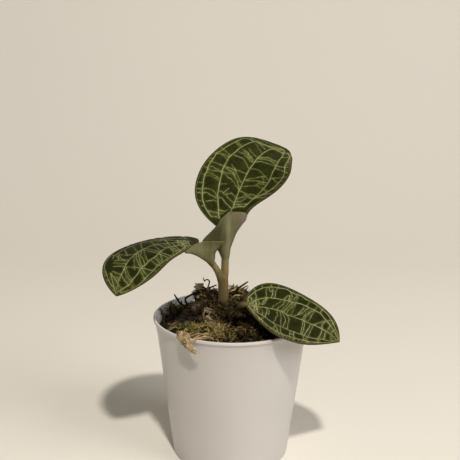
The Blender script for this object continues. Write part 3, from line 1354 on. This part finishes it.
def stem_finish():
    material, shader = new_finish("fleshy_stem", 0.58, 0.1, Subsurface_Weight=0.1,
                                  Subsurface_Scale=0.001)
    tree = material.node_tree
    place = node(tree, "ShaderNodeTexCoord").outputs["Object"]
    height = node(tree, "ShaderNodeSeparateXYZ", place).outputs["Z"]
    low, high = STEM_COLOURS[0][0], STEM_COLOURS[-1][0]
    share = ranged(tree, height, low * MM, high * MM, shape="LINEAR")
    ramp = node(tree, "ShaderNodeValToRGB", share)
    for _ in STEM_COLOURS[2:]:
        ramp.color_ramp.elements.new(0.5)
    for element, (z, colour) in zip(ramp.color_ramp.elements, STEM_COLOURS):
        element.position = (z - low) / (high - low)
        element.color = (*colour, 1)
    skin = ramp.outputs["Color"]
    for centre, radii, colour, strength in STEM_SPOTS:
        spot = maths(tree, "MULTIPLY", soft_spot(tree, centre, radii), strength)
        skin = mixed(tree, spot, skin, (*colour, 1))
    streaks = blotchy(material, 700.0, 0.16, (0.68, 0.66, 0.64), (1.2, 1.2, 1.2), (1, 1, 0.08))
    streaked = ranged(tree, height, 69 * MM, 76 * MM, 1.0, 0.5)
    bumps = use(material, FINE_RELIEF, Scale=900.0, Stretch=(1, 1, 0.12), Strength=0.25)
    give(shader, Base_Color=mixed(tree, streaked, skin, streaks, "MULTIPLY"),
         Normal=bumps.outputs["Normal"])
    return material


def make_stem():
    tubes = sweep(STALKS, "tubes", "damp_mix", step=0.5, sides=24)
    skin = melted([tubes, flap("collar", COLLAR), flap("wing", WING)], "stem_skin", 0.17, 5)
    return wear(skin, stem_finish())


settle(make_stem(), "stem", "stem")

# %% [markdown]
# ## The leaf blades
# A blade is a sheet that follows its midrib through space. The midrib's heading, slope and
# roll are short formulas of the way along it, and each half has an outline, a tilt and a curl.
# The numbers are the CAD's, but the upper blade's outline has more waves here. The sheet is
# closed: thin at the margin, thicker in the middle.

# %% The shape of a blade
LEAVES = {
    # yaw, pitch and roll of the midrib in degrees, as powers of the way along it; each half:
    # width, two powers of its outline, waves of its outline, tilt and its change, curl per 10 mm
    "upper": {
        "base": (-3.0, 5.6, 86.8),
        "length": 48.6,
        "yaw": (45.6, 7.8, -18.4),
        "pitch": (62.2, 10.2, -88.5),
        "roll": (10.9, 8.0),
        "left": (19.8, 0.64, 0.64, (0.112, 0.033, -0.025, -0.046, 0.012, 0.184), (6.8, -16.2),
                 2.7),
        "right": (17.8, 0.74, 0.625, (-0.179, -0.136, 0.229, 0.176, -0.036, -0.179),
                  (4.7, -5.3), 17.4),
        "shade": 0.0,
    },
    "left": {
        "base": (-12.6, -0.3, 83.9),
        "length": 44.8,
        "yaw": (176.4, 79.1, 9.1),
        "pitch": (10.0, -52.0, -10.0),
        "roll": (2.4, 1.8),
        "left": (18.8, 0.58, 0.69, (0.06, -0.05, -0.03), (2.2, 0.6), -4.6),
        "right": (17.9, 0.53, 0.98, (0.02, 0.01, -0.04), (1.5, 0.4), -12.5),
        "shade": 0.36,
    },
    "right": {
        "base": (3.9, -12.2, 63.5),
        "length": 38.7,
        "yaw": (11.2, -46.8, -2.6),
        "pitch": (-12.9, -6.6, -5.9),
        "roll": (17.0, -4.8),
        "left": (15.4, 0.73, 0.96, (0.12, -0.08, -0.03), (6.1, -1.7), 2.1),
        "right": (19.4, 0.84, 0.95, (0.11, 0.0, 0.03), (-1.7, 1.6), 10.4),
        "shade": 0.38,
    },
}


def half_width(half, along):
    """How wide one half of a blade is at a share of its length."""
    width, first, last, corrections, _, _ = half
    peak = first / (first + last)
    shape = along**first * (1 - along) ** last / (peak**first * (1 - peak) ** last)
    stops = np.linspace(0, 1, len(corrections) + 2)
    wave = np.polyfit(stops, (0, *corrections, 0), len(corrections) + 1)
    return width * shape * (1 + np.polyval(wave, along))


def reach_at(leaf, along, across):
    """The half width on the side that a place lies on."""
    return np.where(np.asarray(across) >= 0, half_width(leaf["left"], along),
                    half_width(leaf["right"], along))


print("blade lengths in mm:", {name: leaf["length"] for name, leaf in LEAVES.items()})

# %% [markdown]
# With the midrib walked through space in small steps, any place on the blade follows: so far
# along the midrib, then so far out along a line that tilts and curls away from it.

# %% A blade in space
MIDRIB_STEPS = 400


def blade_surface(leaf, along, across):
    """Points of the blade's middle surface in mm, for shares along it and across it."""
    along, across = np.broadcast_arrays(along, across)
    fine = np.linspace(0, 1, MIDRIB_STEPS + 1)
    yaw, pitch, roll = (
        np.radians(np.polyval(leaf[key][::-1], fine)) for key in ("yaw", "pitch", "roll")
    )
    onward = np.stack(
        [np.cos(pitch) * np.cos(yaw), np.cos(pitch) * np.sin(yaw), np.sin(pitch)], 1
    )
    flat_side = np.stack([-np.sin(yaw), np.cos(yaw), 0 * yaw], 1)
    side = np.cos(roll)[:, None] * flat_side
    side = side + np.sin(roll)[:, None] * np.cross(onward, flat_side)
    face = np.cross(onward, side)
    steps = (onward[1:] + onward[:-1]) / 2 * leaf["length"] / MIDRIB_STEPS
    midrib = np.vstack([np.zeros(3), np.cumsum(steps, 0)]) + np.array(leaf["base"])

    def at(rows):
        return np.stack([np.interp(along, fine, rows[:, i]) for i in range(3)], -1)

    (one_tilt, one_curl), (other_tilt, other_curl) = leaf["left"][4:], leaf["right"][4:]
    on_left = across >= 0
    reach = np.abs(across) * reach_at(leaf, along, across)
    angle = np.radians(np.where(on_left, one_tilt[0] + one_tilt[1] * along,
                                other_tilt[0] + other_tilt[1] * along))
    curl = np.radians(np.where(on_left, one_curl, other_curl)) / 10
    flat = (np.sin(angle + curl * reach) - np.sin(angle)) / curl * np.sign(across)
    raised = (np.cos(angle) - np.cos(angle + curl * reach)) / curl
    return at(midrib) + flat[..., None] * at(side) + raised[..., None] * at(face)


tips = {name: blade_surface(leaf, np.ones(1), np.zeros(1))[0] for name, leaf in LEAVES.items()}
print("tips in mm:", {name: [round(float(c), 1) for c in tip] for name, tip in tips.items()})

# %% [markdown]
# ## The veins
# Five long veins leave the blade's base and meet again at its tip. Between them run cross
# veins in bunches, crooked like lightning, with plain dark cells left between the bunches.
# The ones that catch the eye are placed one by one, by eye, as (along, across) in thousandths:
# along the blade's length, and across it from the midrib to its left (or, below zero, right)
# margin. A long vein is "main", any other "cross".

# %% The upper leaf's veins
UPPER_MAIN = [
    [(40, 0), (120, -30), (180, -37), (205, -81), (280, -37), (823, 38), (860, -25), (917, -356)],
    [(85, 319), (565, 581), (833, 606), (853, 256), (907, -62), (927, -300)],
    [(220, -581), (250, -625), (568, -506), (782, -587), (863, -550), (915, -431)],
    [(80, 663), (143, 769), (573, 894), (718, 850), (805, 881), (830, 819), (828, 638)],
    [(295, -613), (362, -769), (408, -812), (508, -844), (640, -800), (833, -906), (905, -694)],
]
UPPER_CROSS = [
    [(660, 550), (655, 369), (610, 50)], [(615, 538), (615, 281), (540, 6)],
    [(693, 506), (688, 363), (633, 62)], [(728, 431), (675, 75)],
    [(680, 450), (667, 312), (620, 56)], [(812, 506), (792, 350), (735, 62)],
    [(845, 525), (795, 119)], [(487, 506), (468, 288), (410, 106), (345, -31)],
    [(532, 431), (508, 319), (422, 56), (413, -12)], [(440, 469), (400, 194), (348, -19)],
    [(448, 494), (458, 250), (435, 194)], [(297, 419), (290, 306), (235, -6)],
    [(290, 306), (338, 213)], [(245, 406), (245, 288), (220, 206), (185, -12)],
    [(283, 244), (305, 131), (278, -19)], [(345, 463), (365, 306)],
    [(150, 363), (147, 200), (168, 75)], [(125, 338), (128, 188)],
    [(275, 794), (288, 706), (285, 588), (278, 506), (255, 438)],
    [(245, 788), (253, 669), (235, 425)], [(188, 700), (210, 513), (210, 419)],
    [(427, 831), (448, 519)], [(458, 831), (460, 719), (445, 519)],
    [(408, 819), (410, 719), (388, 500)], [(380, 819), (388, 688), (372, 494)],
    [(573, 894), (588, 588)], [(623, 875), (600, 594)], [(583, 869), (588, 788), (552, 575)],
    [(750, 856), (715, 588)], [(733, 850), (703, 613)], [(118, 750), (125, 356)],
    [(85, 713), (90, 331)], [(263, 950), (273, 794)], [(315, 913), (323, 806)],
    [(383, 938), (383, 825)], [(445, 963), (438, 831)], [(512, 956), (527, 888)],
    [(570, 950), (573, 888)], [(180, 906), (177, 788)], [(630, 938), (625, 856)],
    [(145, 863), (145, 769)], [(233, 925), (242, 788)], [(615, 19), (650, -131), (645, -525)],
    [(677, 38), (718, -194), (690, -550)], [(662, 31), (680, -106), (690, -325), (655, -531)],
    [(547, -25), (562, -112), (557, -188), (478, -531)], [(443, -44), (503, -306), (512, -387)],
    [(435, -44), (458, -287), (450, -537)], [(378, -50), (415, -337), (390, -575)],
    [(417, -319), (443, -344), (427, -544)], [(505, -319), (470, -419), (448, -438)],
    [(340, -50), (325, -300), (333, -419), (328, -600)], [(268, -62), (305, -306)],
    [(325, -212), (307, -369), (300, -594)], [(242, -50), (260, -269), (278, -350), (295, -369)],
    [(220, -50), (250, -625)], [(198, -81), (223, -450), (220, -600)], [(640, -531), (628, -806)],
    [(775, -594), (802, -900)], [(500, -531), (508, -844)],
    [(503, -594), (473, -669), (453, -844)], [(615, -519), (573, -819)],
    [(388, -581), (370, -769)], [(843, -550), (895, -712)], [(568, -825), (550, -938)],
    [(715, -856), (713, -950)], [(475, -856), (453, -994)], [(628, -806), (623, -912)],
    [(833, -906), (865, -1000)],
]
print("upper leaf:", len(UPPER_CROSS), "cross veins")

# %% [markdown]
# The left leaf is seen at a slant, and its far end is hidden in the photograph, so its last
# veins are made up like the others.

# %% The left leaf's veins
LEFT_MAIN = [
    [(77, 156), (115, 231), (240, 263), (305, 206), (393, 44), (473, -6), (650, -37), (797, 31),
     (948, -6)],
    [(103, 388), (170, 588), (370, 488), (525, 569), (730, 494), (905, 506), (940, 369),
     (975, 56)], [(100, 19), (155, 100), (302, -137), (480, -569), (615, -725), (655, -675)],
    [(145, 675), (180, 831), (310, 913), (470, 931), (670, 844), (795, 831), (922, 881),
     (950, 812), (975, 450), (800, -550), (930, -300), (985, -20)],
    [(90, -144), (273, -169), (430, -625), (465, -825), (515, -900), (562, -900), (750, -880),
     (900, -600), (985, -40)],
]
LEFT_CROSS = [
    [(562, -6), (625, 144), (720, 475)], [(522, 19), (585, 194), (620, 356), (675, 513)],
    [(552, 25), (675, 388), (703, 506)], [(485, 12), (620, 481), (613, 544)],
    [(600, 12), (748, 350)], [(730, 38), (820, 306), (853, 494)],
    [(750, 31), (823, 225), (868, 494)], [(818, 50), (858, 206), (905, 506)],
    [(725, 506), (800, 831)], [(750, 506), (833, 850)], [(605, 556), (640, 744), (645, 850)],
    [(562, 569), (618, 863)], [(470, 525), (547, 788), (600, 869)],
    [(525, 569), (565, 681), (575, 800)], [(868, 506), (930, 856)],
    [(325, 481), (365, 812), (420, 931)], [(307, 494), (305, 831), (285, 894)],
    [(370, 488), (372, 106)], [(445, 519), (395, 56)], [(292, 213), (307, 494)],
    [(208, 281), (208, 450), (223, 562)], [(522, 863), (542, 975)], [(835, 844), (850, 963)],
    [(660, 850), (640, 913)], [(408, 938), (403, 1000)], [(703, -562), (695, -106), (705, 0)],
    [(675, -575), (665, -181), (650, -37)], [(585, -650), (650, -350), (662, -119)],
    [(635, -525), (605, -544), (608, -275), (583, -94), (550, -12)],
    [(613, -806), (615, -619), (662, -381)], [(738, -500), (725, -31)],
    [(833, -394), (838, -156), (865, 62)], [(785, -444), (810, 25)], [(463, -587), (542, -37)],
    [(413, -481), (497, -6)], [(515, -581), (492, -581), (473, -531)], [(365, -269), (393, 44)],
    [(275, -81), (292, 213)], [(195, 44), (190, 281)], [(302, -137), (348, -25), (393, 44)],
    [(527, -637), (600, -231)], [(378, -500), (348, -731)], [(295, -200), (283, -312)],
    [(208, -150), (203, -281)], [(143, -150), (138, -300)], [(473, -775), (453, -931)],
    [(515, -900), (505, -1000)],
]
print("left leaf:", len(LEFT_CROSS), "cross veins")

# %% [markdown]
# The right leaf is seen from above, so nearly all of its net can be followed.

# %% The right leaf's veins
RIGHT_MAIN = [
    [(33, -56), (72, -100), (190, -6), (360, 31), (425, -31), (473, -31), (695, -12), (890, 56),
     (945, -56), (998, -375)],
    [(37, 19), (120, 288), (177, 369), (450, 500), (527, 588), (698, 644), (777, 544),
     (907, 475), (988, 175)],
    [(35, -156), (45, -350), (80, -412), (190, -419), (325, -531), (780, -575), (875, -531),
     (963, -619), (993, -587)],
    [(35, 156), (52, 650), (185, 794), (388, 888), (427, 850), (505, 888), (547, 850),
     (620, 894), (758, 850), (935, 613), (990, 406)],
    [(37, -375), (75, -606), (168, -769), (230, -806), (302, -800), (370, -850), (723, -806),
     (960, -875)],
]
RIGHT_CROSS = [
    [(58, 681), (83, 425), (75, 225)], [(120, 675), (128, 506), (122, 306)],
    [(220, 800), (220, 469), (212, 400)], [(242, 806), (250, 650), (275, 706), (265, 431)],
    [(273, 812), (273, 694)], [(305, 819), (290, 444)],
    [(375, 463), (388, 619), (410, 706), (420, 644), (410, 506)],
    [(408, 856), (435, 713), (427, 494)], [(465, 844), (450, 500)], [(580, 863), (570, 613)],
    [(688, 844), (703, 656)], [(182, 925), (185, 794)], [(255, 938), (260, 819)],
    [(310, 944), (315, 838)], [(110, 963), (122, 750)], [(388, 956), (385, 888)],
    [(440, 944), (427, 850)], [(618, 963), (615, 875)], [(703, 969), (700, 844)],
    [(770, 950), (763, 850)], [(545, 969), (540, 850)],
    [(233, 400), (200, 125), (177, 100), (193, 244), (223, 381)],
    [(357, 456), (340, 312), (300, 194), (268, 6)], [(385, 463), (375, 300), (320, 31)],
    [(422, 475), (405, 288), (367, 38)], [(475, 513), (415, -19)], [(455, 500), (390, 6)],
    [(642, 594), (593, 275), (580, 6)], [(590, 594), (547, 175), (487, -19)],
    [(628, 525), (603, 225), (598, 0)], [(552, 544), (547, 350), (527, 137)],
    [(780, 531), (705, 0)], [(772, 506), (772, 225), (787, 44)], [(780, 531), (818, 825)],
    [(125, -69), (155, 125), (140, 269)], [(95, -131), (173, -131), (180, -225), (163, -412)],
    [(208, 6), (230, -62), (203, -406)], [(233, 0), (255, -125), (240, -262)],
    [(333, 19), (335, -144), (323, -300), (292, -494)], [(352, 19), (375, -156), (388, -506)],
    [(375, 19), (432, -231), (417, -519)], [(425, -31), (465, -137), (470, -537)],
    [(595, 0), (638, -537)], [(603, 0), (628, -144), (657, -550)], [(677, -12), (685, -562)],
    [(703, -12), (715, -356), (733, -556)], [(787, 44), (805, -81), (830, -556)],
    [(835, 31), (875, -531)], [(848, 44), (878, 181), (885, 463), (907, 475)],
    [(890, 56), (960, -606)], [(385, -525), (390, -694), (408, -844)],
    [(300, -519), (338, -662), (360, -838)], [(512, -544), (527, -819)],
    [(560, -531), (568, -688), (598, -812)], [(520, -694), (568, -669)],
    [(720, -569), (743, -825)], [(670, -562), (723, -806)], [(830, -556), (863, -869)],
    [(190, -425), (147, -675), (163, -719)], [(325, -531), (292, -744)],
    [(487, -838), (500, -956)], [(657, -806), (665, -894)], [(260, -812), (235, -1000)],
    [(370, -850), (360, -969)],
]
VEINS = {
    "upper": {"main": UPPER_MAIN, "cross": UPPER_CROSS},
    "left": {"main": LEFT_MAIN, "cross": LEFT_CROSS},
    "right": {"main": RIGHT_MAIN, "cross": RIGHT_CROSS},
}
print("right leaf:", len(RIGHT_CROSS), "cross veins")

# %% [markdown]
# The rest follow a rule. A fine vein runs inside the margin. Thin bars then run from each long
# vein to the one listed after it, or to the margin's vein, in every stretch that is still empty.

# %% Veins that follow a rule
RIM_VEIN = 0.85


def line_at(vein, along):
    """How far across a long vein is at a share of the length."""
    stops = np.array(vein, float) / 1000
    return float(np.interp(along, np.maximum.accumulate(stops[:, 0]), stops[:, 1]))


def rim_vein(leaf, side):
    alongs = np.linspace(0.03, 0.97, 40)
    inset = 1 - RIM_VEIN / reach_at(leaf, alongs, side)
    return [(1000 * a, 1000 * side * max(0.2, b)) for a, b in zip(alongs, inset)]


def bar_between(one, other, first, rng):
    """A bar from one long vein to another, with a bend half way."""
    last = first + rng.uniform(-0.015, 0.02)
    middle, bend = (first + last) / 2, rng.uniform(-0.012, 0.012)
    half_way = (line_at(one, middle) + line_at(other, middle)) / 2
    stops = [(first, line_at(one, first)), (middle + bend, half_way), (last, line_at(other, last))]
    return [(1000 * along, 1000 * across) for along, across in stops]


def ruled_veins(leaf, veins, seed):
    """The margin's two veins, and bars between long veins where no placed vein lies near."""
    rng = random.Random(seed)
    rims = [rim_vein(leaf, 1), rim_vein(leaf, -1)]
    lines = [rims[0], *veins["main"], rims[1]]
    placed = [np.mean(vein, 0) / 1000 for vein in veins["cross"]]
    bars = []
    for k, (one, other) in enumerate(zip(lines, lines[1:])):
        outermost = k in (0, len(lines) - 2)
        start = max(one[0][0], other[0][0], 60) / 1000
        stop = min(max(one)[0], max(other)[0], 900) / 1000
        along = start + rng.uniform(0.01, 0.03)
        while along < stop:
            bars_here = 1 if outermost else rng.choice((2, 3, 3, 4))
            a, b = line_at(one, along), line_at(other, along)
            taken = any(abs(p[0] - along) < (0.018 if outermost else 0.05) and b < p[1] < a
                        for p in placed)
            if not taken and a - b > 0.04:
                for n in range(bars_here):
                    first = along + n * rng.uniform(0.011, 0.02)
                    bars.append(bar_between(one, other, first, rng))
            along += rng.uniform(0.028, 0.05) if outermost else rng.uniform(0.10, 0.13)
    return rims, bars


print("the veins at the margin run", RIM_VEIN, "mm inside it")

# %% [markdown]
# Extra bends are added by noise, and then every point of the blade is told how far the
# nearest vein is, in that vein's own half widths. A material can draw crisp lines from such
# a number, and the mesh can swell the cells between them.

# %% From veins to distances
VEIN_STEP, USUAL_WIDTH, STRIP = 0.12, 18.0, 400


def vein_points(leaf, veins, seed, crook, bend_length, half):
    """Closely spaced points in mm along crooked veins, with each point's half width."""
    points, widths = [], []
    for n, vein in enumerate(veins):
        stops = np.array(vein, float) / 1000
        size = np.array([leaf["length"], USUAL_WIDTH])
        lengths = np.linalg.norm(np.diff(stops * size, axis=0), axis=1)
        total = lengths.sum()
        if total < 0.3:
            continue
        s = np.linspace(0, total, max(4, int(total / VEIN_STEP)))
        knots = np.concatenate([[0], np.cumsum(lengths)])
        bend = np.array([
            [noise.noise(Vector((a / bend_length, 7.3 * n + 31 * k, seed))) for k in (0, 1)]
            for a in s
        ])
        bend *= crook * np.minimum(1, np.minimum(s, total - s) / 0.8)[:, None]
        along = np.clip(np.interp(s, knots, stops[:, 0]) + bend[:, 0] / size[0], 0.004, 0.996)
        across = np.clip(np.interp(s, knots, stops[:, 1]) + bend[:, 1] / size[1], -0.98, 0.98)
        points.append(blade_surface(leaf, along, across))
        strength = 0.9 + 0.5 * noise.noise(Vector((n * 3.1, seed, 0)))
        widths.append(half * strength * np.interp(along, (0, 0.05, 0.8, 1), (0.7, 1, 1, 0.5)))
    return np.vstack(points), np.concatenate(widths)


def nearest(grid, points, widths):
    """For each grid point, the distance to the nearest vein point over its half width."""
    tree = kdtree.KDTree(len(points))
    for i, point in enumerate(points):
        tree.insert(point, i)
    tree.balance()
    found = [tree.find(place)[1:] for place in grid]
    return np.array([distance / widths[i] for i, distance in found])


def crowding(grid, points):
    """How many veins pass close by, from 0 in a bare cell to more in a bunch."""
    total = np.zeros(len(grid), np.float32)
    few, grid = points[::5].astype(np.float32), grid.astype(np.float32)
    for start in range(0, len(few), STRIP):
        part = few[start:start + STRIP]
        apart = (grid**2).sum(1)[:, None] + (part**2).sum(1)[None] - 2 * grid @ part.T
        total += np.exp(-np.maximum(apart, 0) / (2 * 0.6**2)).sum(1)
    return total


print("a vein has a point every", VEIN_STEP, "mm")

# %% [markdown]
# A blade is a fine grid above and a coarser one below, and the two share the margin. Only the
# upper face needs to be fine, because the net is drawn there.

# %% The blade's fields and faces
ROWS, COLUMNS = 281, 210
MAIN_HALF, CROSS_HALF, RIM_HALF = 0.15, 0.105, 0.08


def vein_fields(leaf, veins, seed, places):
    """Three numbers for each place: to a long vein, to any vein, and how crowded it is."""
    rims, bars = ruled_veins(leaf, veins, seed)
    main, main_width = vein_points(leaf, veins["main"], seed, 0.35, 2.6, MAIN_HALF)
    cross, cross_width = vein_points(leaf, veins["cross"] + bars, seed + 50, 0.32, 1.1,
                                     CROSS_HALF)
    rim, rim_width = vein_points(leaf, rims, seed + 90, 0.16, 1.2, RIM_HALF)
    fine, fine_width = np.vstack([cross, rim]), np.concatenate([cross_width, rim_width])
    to_main = nearest(places, main, main_width)
    to_vein = np.minimum(to_main, nearest(places, fine, fine_width))
    return to_main, to_vein, crowding(places, np.vstack([main, cross]))


def grid_faces(top, low, first, last):
    """Faces of the fine upper side, the coarse lower side and the two pointed ends."""
    faces = []
    for i in range(ROWS - 1):
        for j in range(COLUMNS):
            faces.append((top[i, j], top[i, j + 1], top[i + 1, j + 1], top[i + 1, j]))
    for i in range(0, ROWS - 1, 2):
        for j in range(0, COLUMNS, 2):
            face = [low[i, j], low[i + 2, j], low[i + 2, j + 2], low[i, j + 2]]
            if j == 0:
                face.insert(1, low[i + 1, 0])
            if j == COLUMNS - 2:
                face.insert(3, low[i + 1, COLUMNS])
            faces.append(face)
    for j in range(COLUMNS):
        faces.append((first, top[0, j + 1], top[0, j]))
        faces.append((last, top[-1, j], top[-1, j + 1]))
    for j in range(0, COLUMNS, 2):
        faces.append((first, low[0, j], low[0, j + 2]))
        faces.append((last, low[-1, j + 2], low[-1, j]))
    return [[int(k) for k in face] for face in faces]


print("a blade has", ROWS * (COLUMNS + 1), "points on its upper face")

# %% [markdown]
# The blade is thin at the margin and a little thicker inside. The cells swell between the
# veins, as on the real leaf, and the midrib stands out underneath. Each point also carries the
# numbers that the finish reads.

# %% Building a blade
SWELL, SKIN, BODY, RIB = 0.14, 0.30, 0.06, 0.45


def two_faces(leaf, along, across, middle, to_vein):
    """The blade's upper and lower face, and each place's distance to the margin in mm."""
    normal = np.cross(np.gradient(middle, axis=1), np.gradient(middle, axis=0))
    normal /= np.maximum(np.linalg.norm(normal, axis=2, keepdims=True), 1e-9)
    reach = reach_at(leaf, along, across)
    ends = np.minimum(along, 1 - along) * leaf["length"]
    margin = np.minimum((1 - np.abs(across)) * reach, ends)
    cell = np.clip(to_vein * CROSS_HALF / 1.5, 0, 1)
    swell = SWELL * cell * cell * (3 - 2 * cell) * np.clip(margin / 1.5, 0, 1)
    edge = np.clip(margin / 0.6, 0, 1)
    half = SKIN * np.sqrt(1 - (1 - edge) ** 2) + BODY * np.clip(margin / 6, 0, 1)
    rib = RIB * np.exp(-((across * reach / 0.8) ** 2)) * (1 - along) ** 0.7
    top = middle + normal * (half + swell)[..., None]
    return top, middle - normal * (half - swell + rib * edge)[..., None], margin


def make_blade(name, leaf, veins, finish, seed):
    u = np.linspace(0, 1, ROWS + 2)[1:-1]
    along, across = np.meshgrid(u - 0.25 * np.sin(math.tau * u) / math.tau,
                                np.linspace(1, -1, COLUMNS + 1), indexing="ij")
    middle = blade_surface(leaf, along, across)
    fields = vein_fields(leaf, veins, seed, middle.reshape(-1, 3))
    to_main, to_vein, crowd = (field.reshape(along.shape) for field in fields)
    top, below, margin = two_faces(leaf, along, across, middle, to_vein)

    rim = np.abs(across) > 0.9999
    rows, columns = np.indices(along.shape)
    coarse = ~rim & (rows % 2 == 0) & (columns % 2 == 0)
    top[rim] = middle[rim]
    tips = [blade_surface(leaf, np.array([end]), np.array([0.0]))[0] for end in (0.0, 1.0)]
    points = [*top.reshape(-1, 3), *below[coarse], *tips]
    top_index = np.arange(along.size).reshape(along.shape)
    low_index = top_index.copy()
    low_index[coarse] = along.size + np.arange(coarse.sum())
    faces = grid_faces(top_index, low_index, len(points) - 2, len(points) - 1)
    blade = new_object(name, [p * MM for p in points], faces, finish)
    for title, field, at_tips in [("vein", to_vein, 0), ("main_vein", to_main, 0),
                                  ("crowd", crowd, 1), ("margin", margin, 0)]:
        values = np.concatenate([field.ravel(), field[coarse], [at_tips] * 2])
        keep_values(blade.data, title, values)
    under = np.concatenate([np.where(rim, 0.5, 0.0).ravel(), np.ones(coarse.sum()), [0.5] * 2])
    keep_values(blade.data, "under", under)
    keep_values(blade.data, "shade", np.full(len(points), leaf["shade"]))
    return blade


print("cells swell by", SWELL, "mm, and the midrib stands out by", RIB, "mm")

# %% [markdown]
# The upper face is velvety: near-black green in the bare cells, mid green where veins crowd,
# yellow-green on the veins, and a thin brown-green line at the margin. The two older blades
# are a shade darker than the young upper one, so each blade brings a number. The underside is
# grey-green with a purple breath, and its veins are faint.

# %% Leaf finish
def tinted(tree, skin, value, low, high, start, end, colour):
    """Adds a colour whose share goes from start to end as a value goes from low to high."""
    return mixed(tree, ranged(tree, value, low, high, start, end), skin, (*colour, 1))


def upper_face(material, vein, margin, read):
    """The colour of the upper face, from the bare cells up to the veins and the margin."""
    tree, crowd, shade = material.node_tree, read("crowd"), read("shade")
    cells = blotchy(material, 260.0, 0.2, (0.009, 0.012, 0.0015), (0.028, 0.033, 0.005))
    bright = blotchy(material, 420.0, 0.16, (0.14, 0.16, 0.06), (0.47, 0.48, 0.28))
    sparks = use(material, BLOTCHES, Scale=800.0, Edge=0.05).outputs["Mask"]
    flecks = use(material, BLOTCHES, Scale=1500.0, Edge=0.12, Dark=(0.012, 0.016, 0.002),
                 Light=(0.043, 0.050, 0.009)).outputs
    face = mixed(tree, maths(tree, "MULTIPLY", flecks["Mask"], 0.4), cells, flecks["Color"])
    face = tinted(tree, face, crowd, 0.8, 4.8, 0.0, 0.75, (0.067, 0.076, 0.013))
    face = tinted(tree, face, vein, 1.2, 6.0, 0.5, 0.0, (0.070, 0.082, 0.015))
    sparkling = maths(tree, "MULTIPLY", sparks, ranged(tree, crowd, 2.0, 6.0, 0.0, 0.45))
    face = mixed(tree, sparkling, face, (0.21, 0.23, 0.06, 1))
    face = mixed(tree, shade, face, (0.003, 0.004, 0.001, 1))
    bright = mixed(tree, maths(tree, "MULTIPLY", shade, 0.4), bright, (0.06, 0.07, 0.02, 1))
    face = tinted(tree, face, margin, 0.5, 1.3, 0.5, 0.0, (0.050, 0.052, 0.014))
    inside = ranged(tree, margin, 0.5, 2.0, 0.4, 0.9)
    on_vein = maths(tree, "MULTIPLY", ranged(tree, vein, 0.6, 1.5, 1.0, 0.0), inside)
    face = mixed(tree, on_vein, face, bright)
    face = tinted(tree, face, read("main_vein"), 0.6, 1.2, 0.5, 0.0, (0.33, 0.34, 0.15))
    return tinted(tree, face, margin, 0.25, 0.75, 0.9, 0.0, (0.066, 0.046, 0.018))


def leaf_finish():
    material, shader = new_finish("velvet_leaf", 0.6, 0.06)
    tree = material.node_tree

    def read(name):
        return node(tree, "ShaderNodeAttribute", attribute_name=name).outputs["Fac"]

    vein = read("vein")
    above = upper_face(material, vein, read("margin"), read)
    below = blotchy(material, 220.0, 0.2, (0.080, 0.072, 0.045), (0.120, 0.112, 0.070))
    below = tinted(tree, below, vein, 0.6, 2.4, 0.4, 0.0, (0.14, 0.14, 0.08))
    velvet = use(material, FINE_RELIEF, Scale=2600.0, Strength=0.45, Depth=0.00012)
    ridge = node(tree, "ShaderNodeBump", Strength=0.5, Distance=0.00012,
                 Height=ranged(tree, vein, 0.4, 2.0), Normal=velvet.outputs["Normal"])
    give(shader, Base_Color=mixed(tree, ranged(tree, read("under"), 0.45, 0.75), above, below),
         Roughness=ranged(tree, vein, 0.8, 2.5, 0.5, 0.65), Normal=ridge.outputs["Normal"])
    return material


LEAF = leaf_finish()
for number, (name, leaf) in enumerate(LEAVES.items()):
    blade = make_blade(f"blade_{name}", leaf, VEINS[name], LEAF, 3 + 11 * number)
    settle(blade, "leaf", "leaf_" + name)
